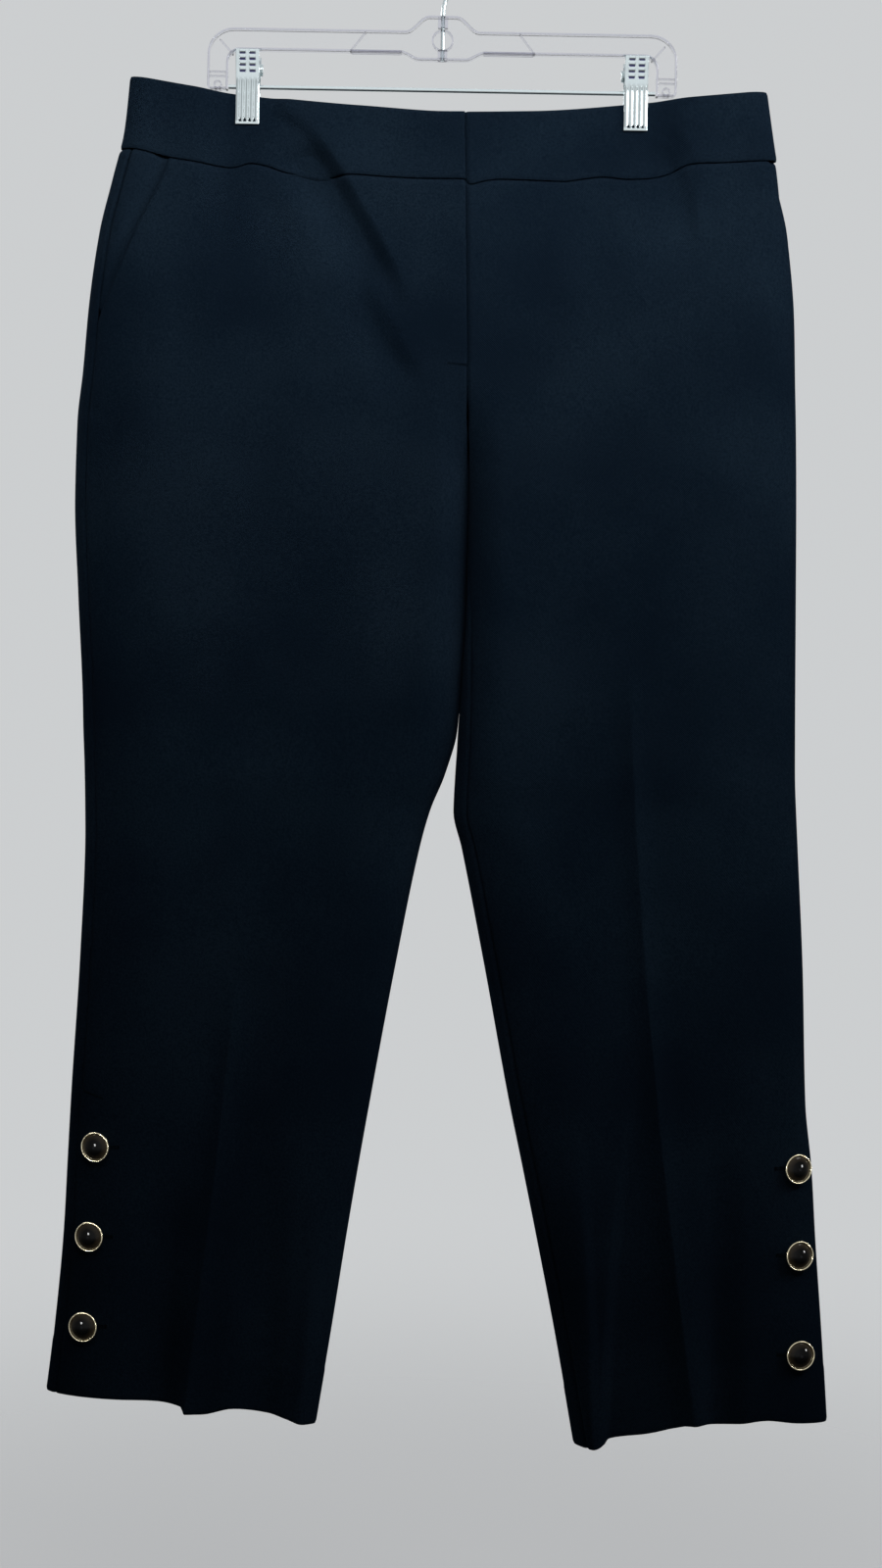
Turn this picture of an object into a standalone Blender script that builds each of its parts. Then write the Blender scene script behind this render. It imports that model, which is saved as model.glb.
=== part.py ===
"""Ankle trousers hanging by two clips from a clear trouser hanger.

Sizes are in millimetres and are scaled to metres where a mesh is made. +Z is up, the front
faces -Y, and +X is the wearer's left, which is the right-hand side seen from the front. The
origin is the inside top of the hanger's hook, where a rail carries it.
"""

import math

import bmesh
import bpy
import numpy as np
from mathutils import Vector

MM = 0.001

# ---- driving sizes -------------------------------------------------------------------------

CLOTH = 1.3  # thickness of a panel
BAND_CLOTH = 1.6  # the waistband is doubled and firmer
FACING_CLOTH = 1.0
SEAM = 0.4  # between two pieces along a seam
LAYER = 0.4  # between two pieces that lie on each other
UNDER_GAP = 0.7  # between a panel and the strip behind its edge, which both turn over a fold

CROTCH = -385.0  # height where the rise ends and the legs part
WAIST_LEVEL = -161.0  # the waist seam, on average
HEM_LEVEL = -1004.0  # the hems, on average
WAIST_BLEND = 110.0  # how far below the seam the rows still follow it
HEM_BLEND = 260.0  # how far above the hem the rows still follow it

FLY_END = -296.0
FLY_LAP = 0.8  # how proud the upper layer of the fly stands
FLY_LAP_WIDTH = 25.0
UNDERLAP_REACH = (-18.0, 27.0)  # left and right ends of the strip behind the fly
UNDERLAP_TOP = -125.0
UNDERLAP_FOOT = -291.0

CLIP_X = 132.0
CLIP_WIDTH = 16.0
GRIPPED = 1.85  # from the hanging plane to the waistband's outer face, in a clip
GRIP_FOOT = -131.0  # the clips' hold on the depth ends here
GRIP_FADE = 120.0  # and has died away this much lower
BAND_MIDDLE = 7.5  # how far each layer bellies out between the clips
BAND_LOOP = 4.8  # and outside them
BAND_LOOP_START = 141.0
BAND_LOOP_RISE = 28.0
BAND_ROUND = 16.0  # width over which the waistband's ends turn over

RIGHT_SIDE_SEAM = 8.0  # this far in from the outline, on the front
LEFT_SIDE_SEAM = 16.0  # this far in from the outline, round the back
RIGHT_INSEAM = 10.0  # this far in from the leg's inner fold, round the back
LEFT_INSEAM = 8.0  # this far in from the leg's inner fold, on the front
INSEAM_SETTLES = 190.0  # below the crotch the inseams reach those places

POCKET_WIDTH = 26.5  # from the slant edge to the side seam, at the waist seam
POCKET_SLANT = 0.4  # below 1, the slant edge turns in towards the side seam at its foot
POCKET_FOOT = -268.0
POCKET_UNDERLAP = 12.0
POCKET_STEP = 10.0  # width over which the facing rises to the panel's level

VENT_TOP = -789.0
VENT_UNDER = 25.0  # the underlap reaches this far under the front
VENT_BEHIND = 6.0  # and this far behind the back panel's edge

# Each row is a height: the outline of both sides, then how the layers stand there. back_shift
# is where the centre back lies from the centre front, the rounds are the widths over which the
# layers turn over at the outer and inner folds, and closing says how far the layers have sunk
# to the hanging plane between the legs, from 0 above to 1 at the crotch.
SECTION_COLUMNS = (
    "height", "right_outer", "right_inner", "left_inner", "left_outer", "back_shift",
    "front_depth", "back_depth", "outer_round", "inner_round", "closing",
)
SECTIONS = (
    (-95.0, -212.0, 15.2, 15.6, 220.5, -23.0, 8.0, 8.0, 20.0, 30.0, 0.0),
    (-135.0, -215.6, 15.8, 16.2, 226.6, -23.0, 9.0, 9.0, 22.0, 30.0, 0.0),
    (-168.0, -223.0, 16.8, 17.2, 232.2, -23.0, 12.0, 12.0, 26.0, 30.0, 0.0),
    (-205.0, -231.4, 17.7, 18.1, 237.6, -22.0, 15.0, 15.0, 38.0, 30.0, 0.0),
    (-255.0, -237.7, 19.0, 19.4, 242.5, -18.0, 18.0, 18.0, 52.0, 28.0, 0.0),
    (-300.0, -241.0, 20.2, 20.6, 244.0, -11.0, 20.0, 20.0, 62.0, 26.0, 0.0),
    (-335.0, -244.2, 21.4, 21.8, 245.2, -5.0, 21.0, 21.0, 67.0, 25.0, 0.28),
    (-385.0, -244.9, 22.8, 23.3, 246.3, 0.0, 22.0, 22.0, 70.0, 25.0, 1.0),
    (-450.0, -241.7, 22.3, 22.8, 247.1, 0.0, 22.0, 22.0, 72.0, 28.0, 1.0),
    (-520.0, -237.4, 19.4, 19.9, 247.9, 0.0, 21.5, 21.5, 72.0, 32.0, 1.0),
    (-542.0, -236.6, 17.7, 18.8, 248.2, 0.0, 21.0, 21.0, 72.0, 34.0, 1.0),
    (-570.0, -235.2, 10.4, 17.2, 248.7, 0.0, 21.0, 21.0, 72.0, 38.0, 1.0),
    (-595.0, -234.4, 0.6, 16.4, 250.0, 0.0, 20.0, 20.0, 70.0, 44.0, 1.0),
    (-620.0, -233.9, -6.0, 22.4, 251.5, 0.0, 20.0, 20.0, 70.0, 50.0, 1.0),
    (-700.0, -236.1, -21.1, 39.3, 256.2, 0.0, 19.0, 19.0, 66.0, 60.0, 1.0),
    (-790.0, -240.4, -36.4, 57.3, 259.6, 0.0, 17.0, 17.0, 58.0, 56.0, 1.0),
    (-835.0, -242.1, -43.7, 67.3, 264.6, 0.0, 16.0, 16.0, 54.0, 52.0, 1.0),
    (-880.0, -243.7, -50.6, 77.1, 267.8, 0.0, 15.0, 15.0, 50.0, 50.0, 1.0),
    (-950.0, -249.0, -60.7, 91.8, 273.6, 0.0, 14.0, 14.0, 46.0, 46.0, 1.0),
    (-1030.0, -258.0, -72.8, 107.0, 279.5, 0.0, 13.5, 13.5, 42.0, 42.0, 1.0),
)

# Height along the waistband's top edge, the waist seam and the hems: across, height.
BAND_TOP = (
    (-216.0, -98.8), (-157.0, -108.0), (-127.0, -111.3), (-60.0, -117.0),
    (5.0, -121.6), (60.0, -119.2), (125.0, -112.6), (165.0, -108.4), (224.0, -102.4),
)
WAIST_SEAM = (
    (-226.0, -148.7), (-165.0, -157.4), (-105.0, -162.0), (-30.0, -166.2),
    (20.0, -167.6), (100.0, -163.2), (168.0, -155.0), (234.0, -148.8),
)
HEMS = (
    (-262.0, -991.0), (-184.0, -994.0), (-166.0, -996.5), (-152.0, -1003.0),
    (-126.0, -1000.2), (-99.0, -1002.5), (-78.0, -1010.0), (-60.0, -1011.5),
    (95.0, -1023.5), (116.0, -1024.5), (133.0, -1014.5), (233.0, -1000.8), (284.0, -1006.5),
)

# Each fold runs from its start over its bend to its end, each given across and as a height.
# A positive rise stands out from the cloth, a negative one is a trough, and a pressed crease
# comes to an edge where a soft fold is round. Those at the hems run on past them.
FOLD_COLUMNS = ("layer", "start", "bend", "end", "half_width", "rise", "shape")
FOLDS = (
    ("front", (-119, -138), (-62, -178), (-12, -264), 16, -4.6, "soft"),
    ("front", (-52, -232), (-28, -285), (-2, -318), 14, -3.0, "soft"),
    ("front", (-129, -138), (-131, -205), (-126, -300), 22, 2.6, "soft"),
    ("front", (-154, -168), (-168, -240), (-158, -350), 19, -2.6, "soft"),
    ("front", (146, -136), (163, -175), (194, -245), 15, -3.0, "soft"),
    ("front", (130, -138), (127, -200), (130, -290), 22, 2.2, "soft"),
    ("front", (110, -145), (78, -190), (44, -268), 17, -2.0, "soft"),
    ("front", (-8, -352), (-50, -374), (-112, -366), 15, -1.8, "soft"),
    ("front", (50, -350), (88, -372), (142, -362), 15, -1.6, "soft"),
    ("front", (-62, -420), (-96, -560), (-84, -720), 42, -2.2, "soft"),
    ("front", (74, -430), (100, -560), (92, -720), 36, -2.0, "soft"),
    ("front", (-126, -690), (-141, -850), (-165, -1060), 17, 3.6, "crease"),
    ("front", (133, -470), (149, -720), (194, -1060), 17, 3.6, "crease"),
    ("front", (-150, -900), (-151, -985), (-151, -1080), 14, 2.6, "soft"),
    ("front", (-112, -800), (-120, -930), (-116, -1080), 24, -3.4, "soft"),
    ("front", (-70, -850), (-80, -960), (-84, -1080), 14, 3.6, "soft"),
    ("front", (-188, -830), (-199, -950), (-206, -1080), 26, -2.6, "soft"),
    ("front", (92, -800), (107, -920), (121, -1080), 17, 6.4, "soft"),
    ("front", (122, -740), (138, -910), (157, -1080), 24, -6.0, "soft"),
    ("front", (172, -850), (180, -950), (190, -1080), 22, 3.8, "soft"),
    ("front", (202, -830), (211, -940), (221, -1080), 19, -4.4, "soft"),
    ("back", (-131, -138), (-129, -215), (-118, -310), 24, 2.6, "soft"),
    ("back", (131, -138), (130, -215), (122, -310), 24, 2.4, "soft"),
    ("back", (-108, -146), (-64, -200), (-24, -292), 19, -3.4, "soft"),
    ("back", (106, -146), (58, -205), (6, -296), 19, -2.8, "soft"),
    ("back", (-160, -150), (-170, -205), (-198, -262), 17, -2.4, "soft"),
    ("back", (158, -150), (172, -200), (203, -250), 17, -2.6, "soft"),
    ("back", (-30, -372), (-104, -404), (-186, -386), 19, -2.4, "soft"),
    ("back", (66, -376), (124, -408), (196, -392), 19, -2.2, "soft"),
    ("back", (-56, -640), (-112, -660), (-178, -640), 17, -1.8, "soft"),
    ("back", (60, -652), (122, -674), (206, -654), 17, -1.7, "soft"),
    ("back", (-118, -460), (-136, -750), (-166, -1060), 17, 3.4, "crease"),
    ("back", (134, -460), (152, -750), (193, -1060), 17, 3.4, "crease"),
    ("back", (-104, -820), (-113, -930), (-112, -1080), 24, -3.6, "soft"),
    ("back", (-204, -850), (-212, -940), (-220, -1080), 20, -2.4, "soft"),
    ("back", (142, -800), (158, -930), (168, -1080), 24, -3.6, "soft"),
    ("back", (230, -850), (238, -950), (246, -1080), 19, -2.4, "soft"),
)
FOLD_STEPS = 14
FOLD_FADE = 0.3  # share of a fold's length over which each end dies away
FOLD_CALM = 14.0  # folds die away this near to the outline

# Rows of the panels: how many steps lie above each height.
ROW_BANDS = ((-330.0, 10), (-630.0, 9), (HEM_LEVEL, 9))
BAND_ROWS = 4
FRONT_COLUMNS = 21
BACK_COLUMNS = 15
FACING_COLUMNS = 9
UNDERLAP_COLUMNS = 8
BAND_COLUMNS = 32
DENSE = 140  # points along each layer of a section before it is divided
BEND_SHARE = 0.55  # how much the columns crowd where the cloth turns

BUTTON_RADIUS = 10.0
BUTTON_WELL = 8.9  # inner radius of the metal cup
CUP_FLOOR = 2.7  # height above the cloth
DOME_RADIUS = 8.5
SHANK_RADIUS = 2.6
BUTTON_STEPS = 14
BUTTON_CENTRES = {
    "right": ((-220.0, -825.1), (-223.3, -885.8), (-226.5, -946.6)),
    "left": ((252.1, -832.3), (254.1, -890.7), (255.9, -957.7)),
}
# Turned profiles, radius and height above the cloth, down the outer side.
RIM_PROFILE = (
    (0.0, CUP_FLOOR), (BUTTON_WELL, CUP_FLOOR), (BUTTON_WELL, 3.8), (9.4, 4.3),
    (BUTTON_RADIUS, 3.7), (9.8, 2.5), (8.8, 1.9), (SHANK_RADIUS, 1.8), (SHANK_RADIUS, LAYER),
    (0.0, LAYER),
)
DOME_PROFILE = (
    (0.0, 6.0), (3.4, 5.6), (6.4, 4.6), (DOME_RADIUS, 3.4), (DOME_RADIUS, CUP_FLOOR + LAYER),
    (0.0, CUP_FLOOR + LAYER),
)

ROD_HEIGHT = -104.5
ROD_RADIUS = 1.5
HANGER_THICKNESS = 4.5
HANGER_TOP = -54.2
BEAM_TOP = -64.6
BEAM_FOOT = -79.6
ARM_FOOT = -106.6
HANGER_HALF_WIDTH = 159.8
ARM_INSIDE = 145.6
HUMP = ((10.7, HANGER_TOP), (24.0, BEAM_TOP))  # half of the rise that carries the hook
BULGE = ((28.0, BEAM_FOOT), (17.0, -84.5))  # half of the swelling below it
OUTER_CORNER = 18.0
INNER_CORNER = 8.0
TIP_CORNER = 3.0
CORNER_STEPS = 5

HOOK_WIRE = 1.5
HOOK_RADIUS = 20.0  # to the middle of the wire
HOOK_START = -58.0  # degrees from level, on the right below the rail
HOOK_TIP = 196.0
HOOK_STEPS = 20
STEM_STEPS = 7

PLATE = 0.9
PLATE_COLUMNS = 8
FLUTE = 0.7
FLUTES_FROM = -97.0
TOOTH = 1.6
# Inside of a clip's plate: height, distance from the hanging plane.
PLATE_PROFILE = (
    (-81.5, 7.8), (-87.0, 6.4), (-93.0, 4.75), (-98.5, 3.5), (-104.5, 1.95),
    (-110.5, 2.3), (-120.0, 2.3), (-129.5, 2.3),
)
SPRING_HEIGHT = -93.0
SPRING_RADIUS = 4.2
SPRING_REACH = (-5.0, 10.0)  # along the rod, towards the middle of the hanger

# ---- scene, materials and small helpers ----------------------------------------------------


def empty_scene():
    for thing in list(bpy.data.objects):
        bpy.data.objects.remove(thing)
    collection = bpy.data.collections.new("ankle_trousers_on_hanger")
    bpy.context.scene.collection.children.link(collection)
    return collection


PARTS = empty_scene()


def material(name, colour, roughness, metallic=0.0, transmission=0.0):
    made = bpy.data.materials.new(name)
    made.use_nodes = True
    shader = made.node_tree.nodes["Principled BSDF"]
    shader.inputs["Base Color"].default_value = (*colour, 1.0)
    shader.inputs["Roughness"].default_value = roughness
    shader.inputs["Metallic"].default_value = metallic
    shader.inputs["Transmission Weight"].default_value = transmission
    return made


TROUSER_CLOTH = material("trouser_cloth", (0.006, 0.008, 0.012), 0.9)
BUTTON_METAL = material("button_metal", (0.60, 0.45, 0.20), 0.3, metallic=1.0)
BUTTON_BLACK = material("button_black", (0.01, 0.008, 0.008), 0.08)
CLEAR_PLASTIC = material("clear_plastic", (0.88, 0.88, 0.92), 0.1, transmission=0.9)
BRIGHT_STEEL = material("bright_steel", (0.75, 0.75, 0.77), 0.2, metallic=1.0)


def eased(share):
    """A smooth rise from 0 to 1."""
    share = np.clip(share, 0.0, 1.0)
    return share * share * (3.0 - 2.0 * share)


def rounded(share):
    """A quarter of an ellipse: 0 and upright at a fold, 1 and level from the full share on."""
    share = np.clip(share, 0.0, 1.0)
    return np.sqrt(1.0 - (1.0 - share) ** 2)


def curve_through(places, values):
    """A smooth curve through the points that never swings past them."""
    order = np.argsort(places)
    places = np.asarray(places, float)[order]
    values = np.asarray(values, float)[order]
    widths = np.diff(places)
    slopes = np.diff(values) / widths
    bends = np.zeros(len(places))
    bends[0] = slopes[0]
    bends[-1] = slopes[-1]
    for i in range(1, len(places) - 1):
        before, after = slopes[i - 1], slopes[i]
        if before * after > 0.0:
            bends[i] = 2.0 * before * after / (before + after)

    def at(place):
        place = np.clip(place, places[0], places[-1])
        i = np.clip(np.searchsorted(places, place) - 1, 0, len(widths) - 1)
        t = (place - places[i]) / widths[i]
        start = values[i] * (1.0 + 2.0 * t) * (1.0 - t) ** 2
        end = values[i + 1] * t * t * (3.0 - 2.0 * t)
        turn = widths[i] * t * (1.0 - t) * ((1.0 - t) * bends[i] - t * bends[i + 1])
        return start + end + turn

    return at


def column(name):
    i = SECTION_COLUMNS.index(name)
    return curve_through([row[0] for row in SECTIONS], [row[i] for row in SECTIONS])


SECTION = {name: column(name) for name in SECTION_COLUMNS[1:]}
band_top = curve_through(*zip(*BAND_TOP))
waist_seam = curve_through(*zip(*WAIST_SEAM))
hems = curve_through(*zip(*HEMS))

# ---- the cloth's form ----------------------------------------------------------------------


def fold_path(fold):
    """A fold's middle line: a smooth bend through its three places."""
    start, bend, end = (np.array(fold[i], float) for i in (1, 2, 3))
    turn = 2.0 * bend - 0.5 * (start + end)
    t = np.linspace(0.0, 1.0, FOLD_STEPS + 1)[:, None]
    return (1.0 - t) ** 2 * start + 2.0 * t * (1.0 - t) * turn + t * t * end


FOLD_PATHS = [(dict(zip(FOLD_COLUMNS, fold)), fold_path(fold)) for fold in FOLDS]


def fold_rise(layer, x, z):
    """How far the folds lift a layer at these places."""
    rise = np.zeros(np.shape(x))
    for fold, path in FOLD_PATHS:
        if fold["layer"] != layer:
            continue
        nearest = np.full(np.shape(x), np.inf)
        along = np.zeros(np.shape(x))
        for step in range(FOLD_STEPS):
            from_x, from_z = path[step]
            run_x, run_z = path[step + 1] - path[step]
            share = ((x - from_x) * run_x + (z - from_z) * run_z) / (run_x**2 + run_z**2)
            share = np.clip(share, 0.0, 1.0)
            away = np.hypot(x - from_x - share * run_x, z - from_z - share * run_z)
            closer = away < nearest
            nearest = np.where(closer, away, nearest)
            along = np.where(closer, (step + share) / FOLD_STEPS, along)
        across = np.clip(nearest / fold["half_width"], 0.0, 1.0)
        soft = np.cos(0.5 * math.pi * across) ** 2
        profile = soft if fold["shape"] == "soft" else (1.0 - across) ** 2
        ends = eased(along / FOLD_FADE) * eased((1.0 - along) / FOLD_FADE)
        rise = rise + fold["rise"] * profile * ends
    return rise


def gripped_depth(x, from_outer):
    """A waistband layer's distance from the hanging plane: nothing to speak of in the clips,
    and bellied out between and outside them."""
    reach = np.abs(x)
    middle = np.clip(reach / (CLIP_X - CLIP_WIDTH / 2.0), 0.0, 1.0)
    belly = BAND_MIDDLE * np.cos(0.5 * math.pi * middle) ** 2
    belly = belly + BAND_LOOP * eased((reach - BAND_LOOP_START) / BAND_LOOP_RISE)
    return (GRIPPED + belly) * rounded(from_outer / BAND_ROUND)


def inner_edge(side, layer, z):
    """Across, at the centre seam above the crotch and at the leg's inner fold below it."""
    shift = SECTION["back_shift"](z) if layer == "back" else 0.0
    return SECTION[side + "_inner"](z) + shift


def depth(side, layer, x, z, lapped=True):
    """How far a layer's outer face stands from the hanging plane."""
    from_outer = np.abs(SECTION[side + "_outer"](z) - x)
    from_inner = np.abs(x - inner_edge(side, layer, z))
    closing = SECTION["closing"](z)
    share = from_inner / SECTION["inner_round"](z)
    sharp = closing * closing
    sunk = sharp * rounded(share) + (1.0 - sharp) * np.sin(0.5 * math.pi * np.clip(share, 0, 1))
    hung = SECTION[layer + "_depth"](z) * rounded(from_outer / SECTION["outer_round"](z))
    hung = hung * (1.0 - closing * (1.0 - sunk))
    grip = eased((z - GRIP_FOOT + GRIP_FADE) / GRIP_FADE)
    stands = hung + (gripped_depth(x, from_outer) - hung) * grip
    calm = eased(from_outer / FOLD_CALM) * (1.0 - closing * (1.0 - eased(from_inner / FOLD_CALM)))
    calm = calm * eased((GRIP_FOOT - z) / 25.0)
    stands = stands + calm * fold_rise(layer, x, z)
    if lapped and side == "right" and layer == "front":
        near_fly = 1.0 - eased(from_inner / FLY_LAP_WIDTH)
        stands = stands + FLY_LAP * near_fly * eased((z - FLY_END) / 20.0)
    return stands


def panel_row(level):
    """The height across a row of the panels: it follows the waist seam at the top and the hem
    at the foot."""
    near_waist = eased((level - WAIST_LEVEL + WAIST_BLEND) / WAIST_BLEND)
    near_hem = eased((HEM_LEVEL + HEM_BLEND - level) / HEM_BLEND)

    def height(x):
        to_seam = near_waist * (waist_seam(x) - SEAM / 2.0 - WAIST_LEVEL)
        return level + to_seam + near_hem * (hems(x) - HEM_LEVEL)

    return height


def band_row(share):
    """The height across a row of the waistband, from its seam at 0 to its top edge at 1."""

    def height(x):
        return (1.0 - share) * (waist_seam(x) + SEAM / 2.0) + share * band_top(x)

    return height


def edge_along(curve, height):
    """Where a row meets an edge that is given by height."""
    x = curve(height(0.0))
    for _ in range(6):
        x = curve(height(x))
    return x


def section(side, height, closed):
    """One side's cross-section along a row, as close points from the centre front or the inner
    fold, round the outer fold and back. A leg's is closed, and runs on past both ends."""
    outer = edge_along(SECTION[side + "_outer"], height)
    fronts_inner = edge_along(lambda z: inner_edge(side, "front", z), height)
    backs_inner = edge_along(lambda z: inner_edge(side, "back", z), height)
    share = 0.5 - 0.5 * np.cos(np.linspace(0.0, math.pi, DENSE + 1))
    front_x = fronts_inner + (outer - fronts_inner) * share
    back_x = outer + (backs_inner - outer) * share
    front_y = -depth(side, "front", front_x, height(front_x))
    back_y = depth(side, "back", back_x, height(back_x))
    x = np.concatenate([front_x, back_x[1:]])
    y = np.concatenate([front_y, back_y[1:]])
    first = 0
    if closed:
        lead = DENSE // 2
        x = np.concatenate([x[-1 - lead : -1], x, x[1 : lead + 1]])
        y = np.concatenate([y[-1 - lead : -1], y, y[1 : lead + 1]])
        first = lead
    steps = np.hypot(np.diff(x), np.diff(y))
    arc = np.concatenate([[0.0], np.cumsum(steps)])
    arc = arc - arc[first]
    along_x, along_y = np.gradient(x, arc), np.gradient(y, arc)
    size = np.hypot(along_x, along_y)
    turn_side = 1.0 if side == "left" else -1.0
    normal_x, normal_y = turn_side * along_y / size, -turn_side * along_x / size
    heading = np.unwrap(np.arctan2(normal_y, normal_x))
    turning = np.concatenate([[0.0], np.cumsum(np.abs(np.diff(heading)))]) / (2.0 * math.pi)
    last = first + 2 * DENSE
    return {
        "points": np.column_stack([x, y, height(x)]),
        "normals": np.column_stack([normal_x, normal_y, np.zeros(len(x))]),
        "arc": arc,
        "measure": arc / (arc[last] - arc[first]) + BEND_SHARE * turning,
        "length": arc[last],
        "front": slice(first, first + DENSE + 1),
        "back": slice(first + DENSE, last + 1),
    }


def place(ring, layer, fold, distance):
    """The place along a section that lies this far in from the outer or the inner fold."""
    x = ring["points"][ring[layer], 0]
    arc = ring["arc"][ring[layer]]
    at_outer = x[-1] if layer == "front" else x[0]
    at_inner = x[0] if layer == "front" else x[-1]
    away = np.abs(x - (at_outer if fold == "outer" else at_inner))
    order = np.argsort(away)
    return float(np.interp(distance, away[order], arc[order]))


def divided(ring, start, end, columns):
    """Points and outward directions on a stretch of a section, closer together at bends."""
    from_mark, to_mark = np.interp([start, end], ring["arc"], ring["measure"])
    marks = np.linspace(from_mark, to_mark, columns + 1)
    places = np.interp(marks, ring["measure"], ring["arc"])
    points = [np.interp(places, ring["arc"], ring["points"][:, i]) for i in range(3)]
    normals = [np.interp(places, ring["arc"], ring["normals"][:, i]) for i in range(3)]
    normals = np.column_stack(normals)
    normals = normals / np.linalg.norm(normals, axis=1)[:, None]
    return np.column_stack(points), normals, places


# ---- from sections to solids ---------------------------------------------------------------


def finish(thing, finish_material, smooth=True):
    thing.data.materials.append(finish_material)
    PARTS.objects.link(thing)
    if smooth:
        thing.data.shade_smooth()
        thing.data.set_sharp_from_angle(angle=math.radians(50))
    return thing


def wall(name, rows, thickness, finish_material=TROUSER_CLOTH):
    """A closed wall through rows of points: its outer face on them, its inner face a thickness
    in from them."""
    outer = np.array([row[0] for row in rows])
    inner = np.array([row[0] - thickness * row[1] for row in rows])
    count, width = outer.shape[:2]
    corners = np.concatenate([outer.reshape(-1, 3), inner.reshape(-1, 3)]) * MM
    mesh = bmesh.new()
    verts = [mesh.verts.new(corner) for corner in corners]

    def outer_at(row, i):
        return verts[row * width + i]

    def inner_at(row, i):
        return verts[count * width + row * width + i]

    for row in range(count - 1):
        for i in range(width - 1):
            square = ((row, i), (row, i + 1), (row + 1, i + 1), (row + 1, i))
            mesh.faces.new([outer_at(*corner) for corner in square])
            mesh.faces.new([inner_at(*corner) for corner in reversed(square)])
    border = [(0, i) for i in range(width - 1)]
    border += [(row, width - 1) for row in range(count - 1)]
    border += [(count - 1, i) for i in range(width - 1, 0, -1)]
    border += [(row, 0) for row in range(count - 1, 0, -1)]
    for here, after in zip(border, border[1:] + border[:1]):
        mesh.faces.new([outer_at(*here), inner_at(*here), inner_at(*after), outer_at(*after)])
    bmesh.ops.recalc_face_normals(mesh, faces=mesh.faces)
    data = bpy.data.meshes.new(name)
    mesh.to_mesh(data)
    mesh.free()
    return finish(bpy.data.objects.new(name, data), finish_material)


def row_levels():
    """The panels' rows, from the waist seam down to the hem, one of them at the crotch."""
    levels = [WAIST_LEVEL]
    for foot, steps in ROW_BANDS:
        levels += list(np.linspace(levels[-1], foot, steps + 1)[1:])
    nearest = min(range(len(levels)), key=lambda i: abs(levels[i] - CROTCH))
    levels[nearest] = CROTCH
    return levels


def side_seam(side, ring):
    if side == "right":
        return place(ring, "front", "outer", RIGHT_SIDE_SEAM)
    return place(ring, "back", "outer", LEFT_SIDE_SEAM)


def inseam(side, ring, level):
    """Where the inseam lies, past the start of a leg's section or before it."""
    settled = float(eased((CROTCH - level) / INSEAM_SETTLES))
    if side == "right":
        return place(ring, "back", "inner", RIGHT_INSEAM * settled) - ring["length"]
    return place(ring, "front", "inner", LEFT_INSEAM * settled)


def pocket_width(z):
    """From the pocket's slant edge to the side seam."""
    share = max((z - POCKET_FOOT) / (WAIST_LEVEL - POCKET_FOOT), 0.0)
    return POCKET_WIDTH * share**POCKET_SLANT


def rings_of(side):
    """Each row of one side's panels, as its level and its section."""
    return [
        (level, section(side, panel_row(level), level <= CROTCH)) for level in row_levels()
    ]


def panels(side, rings):
    front_rows, back_rows = [], []
    for level, ring in rings:
        closed = level <= CROTCH
        seam = side_seam(side, ring)
        front_start = inseam(side, ring, level) if closed else 0.0
        back_end = front_start + ring["length"]
        if closed:
            front_start = front_start + SEAM / 2.0
            back_end = back_end - SEAM / 2.0
        front_end = seam - max(SEAM / 2.0, pocket_width(level))
        front_rows.append(divided(ring, front_start, front_end, FRONT_COLUMNS))
        back_rows.append(divided(ring, seam + SEAM / 2.0, back_end, BACK_COLUMNS))
    wall(f"front_{side}_panel", front_rows, CLOTH)
    wall(f"back_{side}_panel", back_rows, CLOTH)


def waistband(side):
    rows = []
    for share in np.linspace(0.0, 1.0, BAND_ROWS + 1):
        ring = section(side, band_row(share), False)
        rows.append(divided(ring, 0.0, ring["length"], BAND_COLUMNS))
    wall(f"waistband_{side}", rows, BAND_CLOTH)


def moved_in(points, normals, distance):
    return points - normals * np.reshape(distance, (-1, 1)), normals


def pocket_facing(side, rings):
    """The cloth seen in the slant pocket: under the front panel at its edge, and level with
    the panel at the side seam."""
    rows = []
    for level, ring in rings:
        width = pocket_width(level)
        end = side_seam(side, ring) - SEAM / 2.0
        start = end - width - POCKET_UNDERLAP
        points, normals, places = divided(ring, start, end, FACING_COLUMNS)
        past_slant = places - (end - width) - SEAM
        sunk = (CLOTH + UNDER_GAP) * (1.0 - eased(past_slant / POCKET_STEP))
        rows.append(moved_in(points, normals, sunk))
        if level < POCKET_FOOT:
            break
    wall(f"pocket_facing_{side}", rows, FACING_CLOTH)


def vent_underlap(side, rings):
    """The buttoned opening's under layer, behind the edges of the front and back panels."""
    rows = []
    for level, ring in rings:
        if level > VENT_TOP:
            continue
        seam = side_seam(side, ring)
        start, end = seam - VENT_UNDER, seam + VENT_BEHIND
        points, normals, places = divided(ring, start, end, UNDERLAP_COLUMNS)
        rows.append(moved_in(points, normals, np.full(len(places), CLOTH + UNDER_GAP)))
    wall(f"vent_underlap_{side}", rows, FACING_CLOTH)


def fly_underlap():
    """A strip behind the fly, from the waistband's top edge to the fly's foot."""
    across = np.linspace(*UNDERLAP_REACH, 7)
    facing_front = np.tile([0.0, -1.0, 0.0], (len(across), 1))
    rows = []
    for z in np.linspace(UNDERLAP_TOP, UNDERLAP_FOOT, 9):
        right = depth("right", "front", across, z, lapped=False)
        left = depth("left", "front", across, z)
        stands = np.where(across < inner_edge("right", "front", z), right, left)
        stands = stands - BAND_CLOTH - LAYER
        points = np.column_stack([across, -stands, np.full(len(across), z)])
        rows.append((points, facing_front))
    wall("fly_underlap", rows, FACING_CLOTH)


# ---- buttons -------------------------------------------------------------------------------


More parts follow.
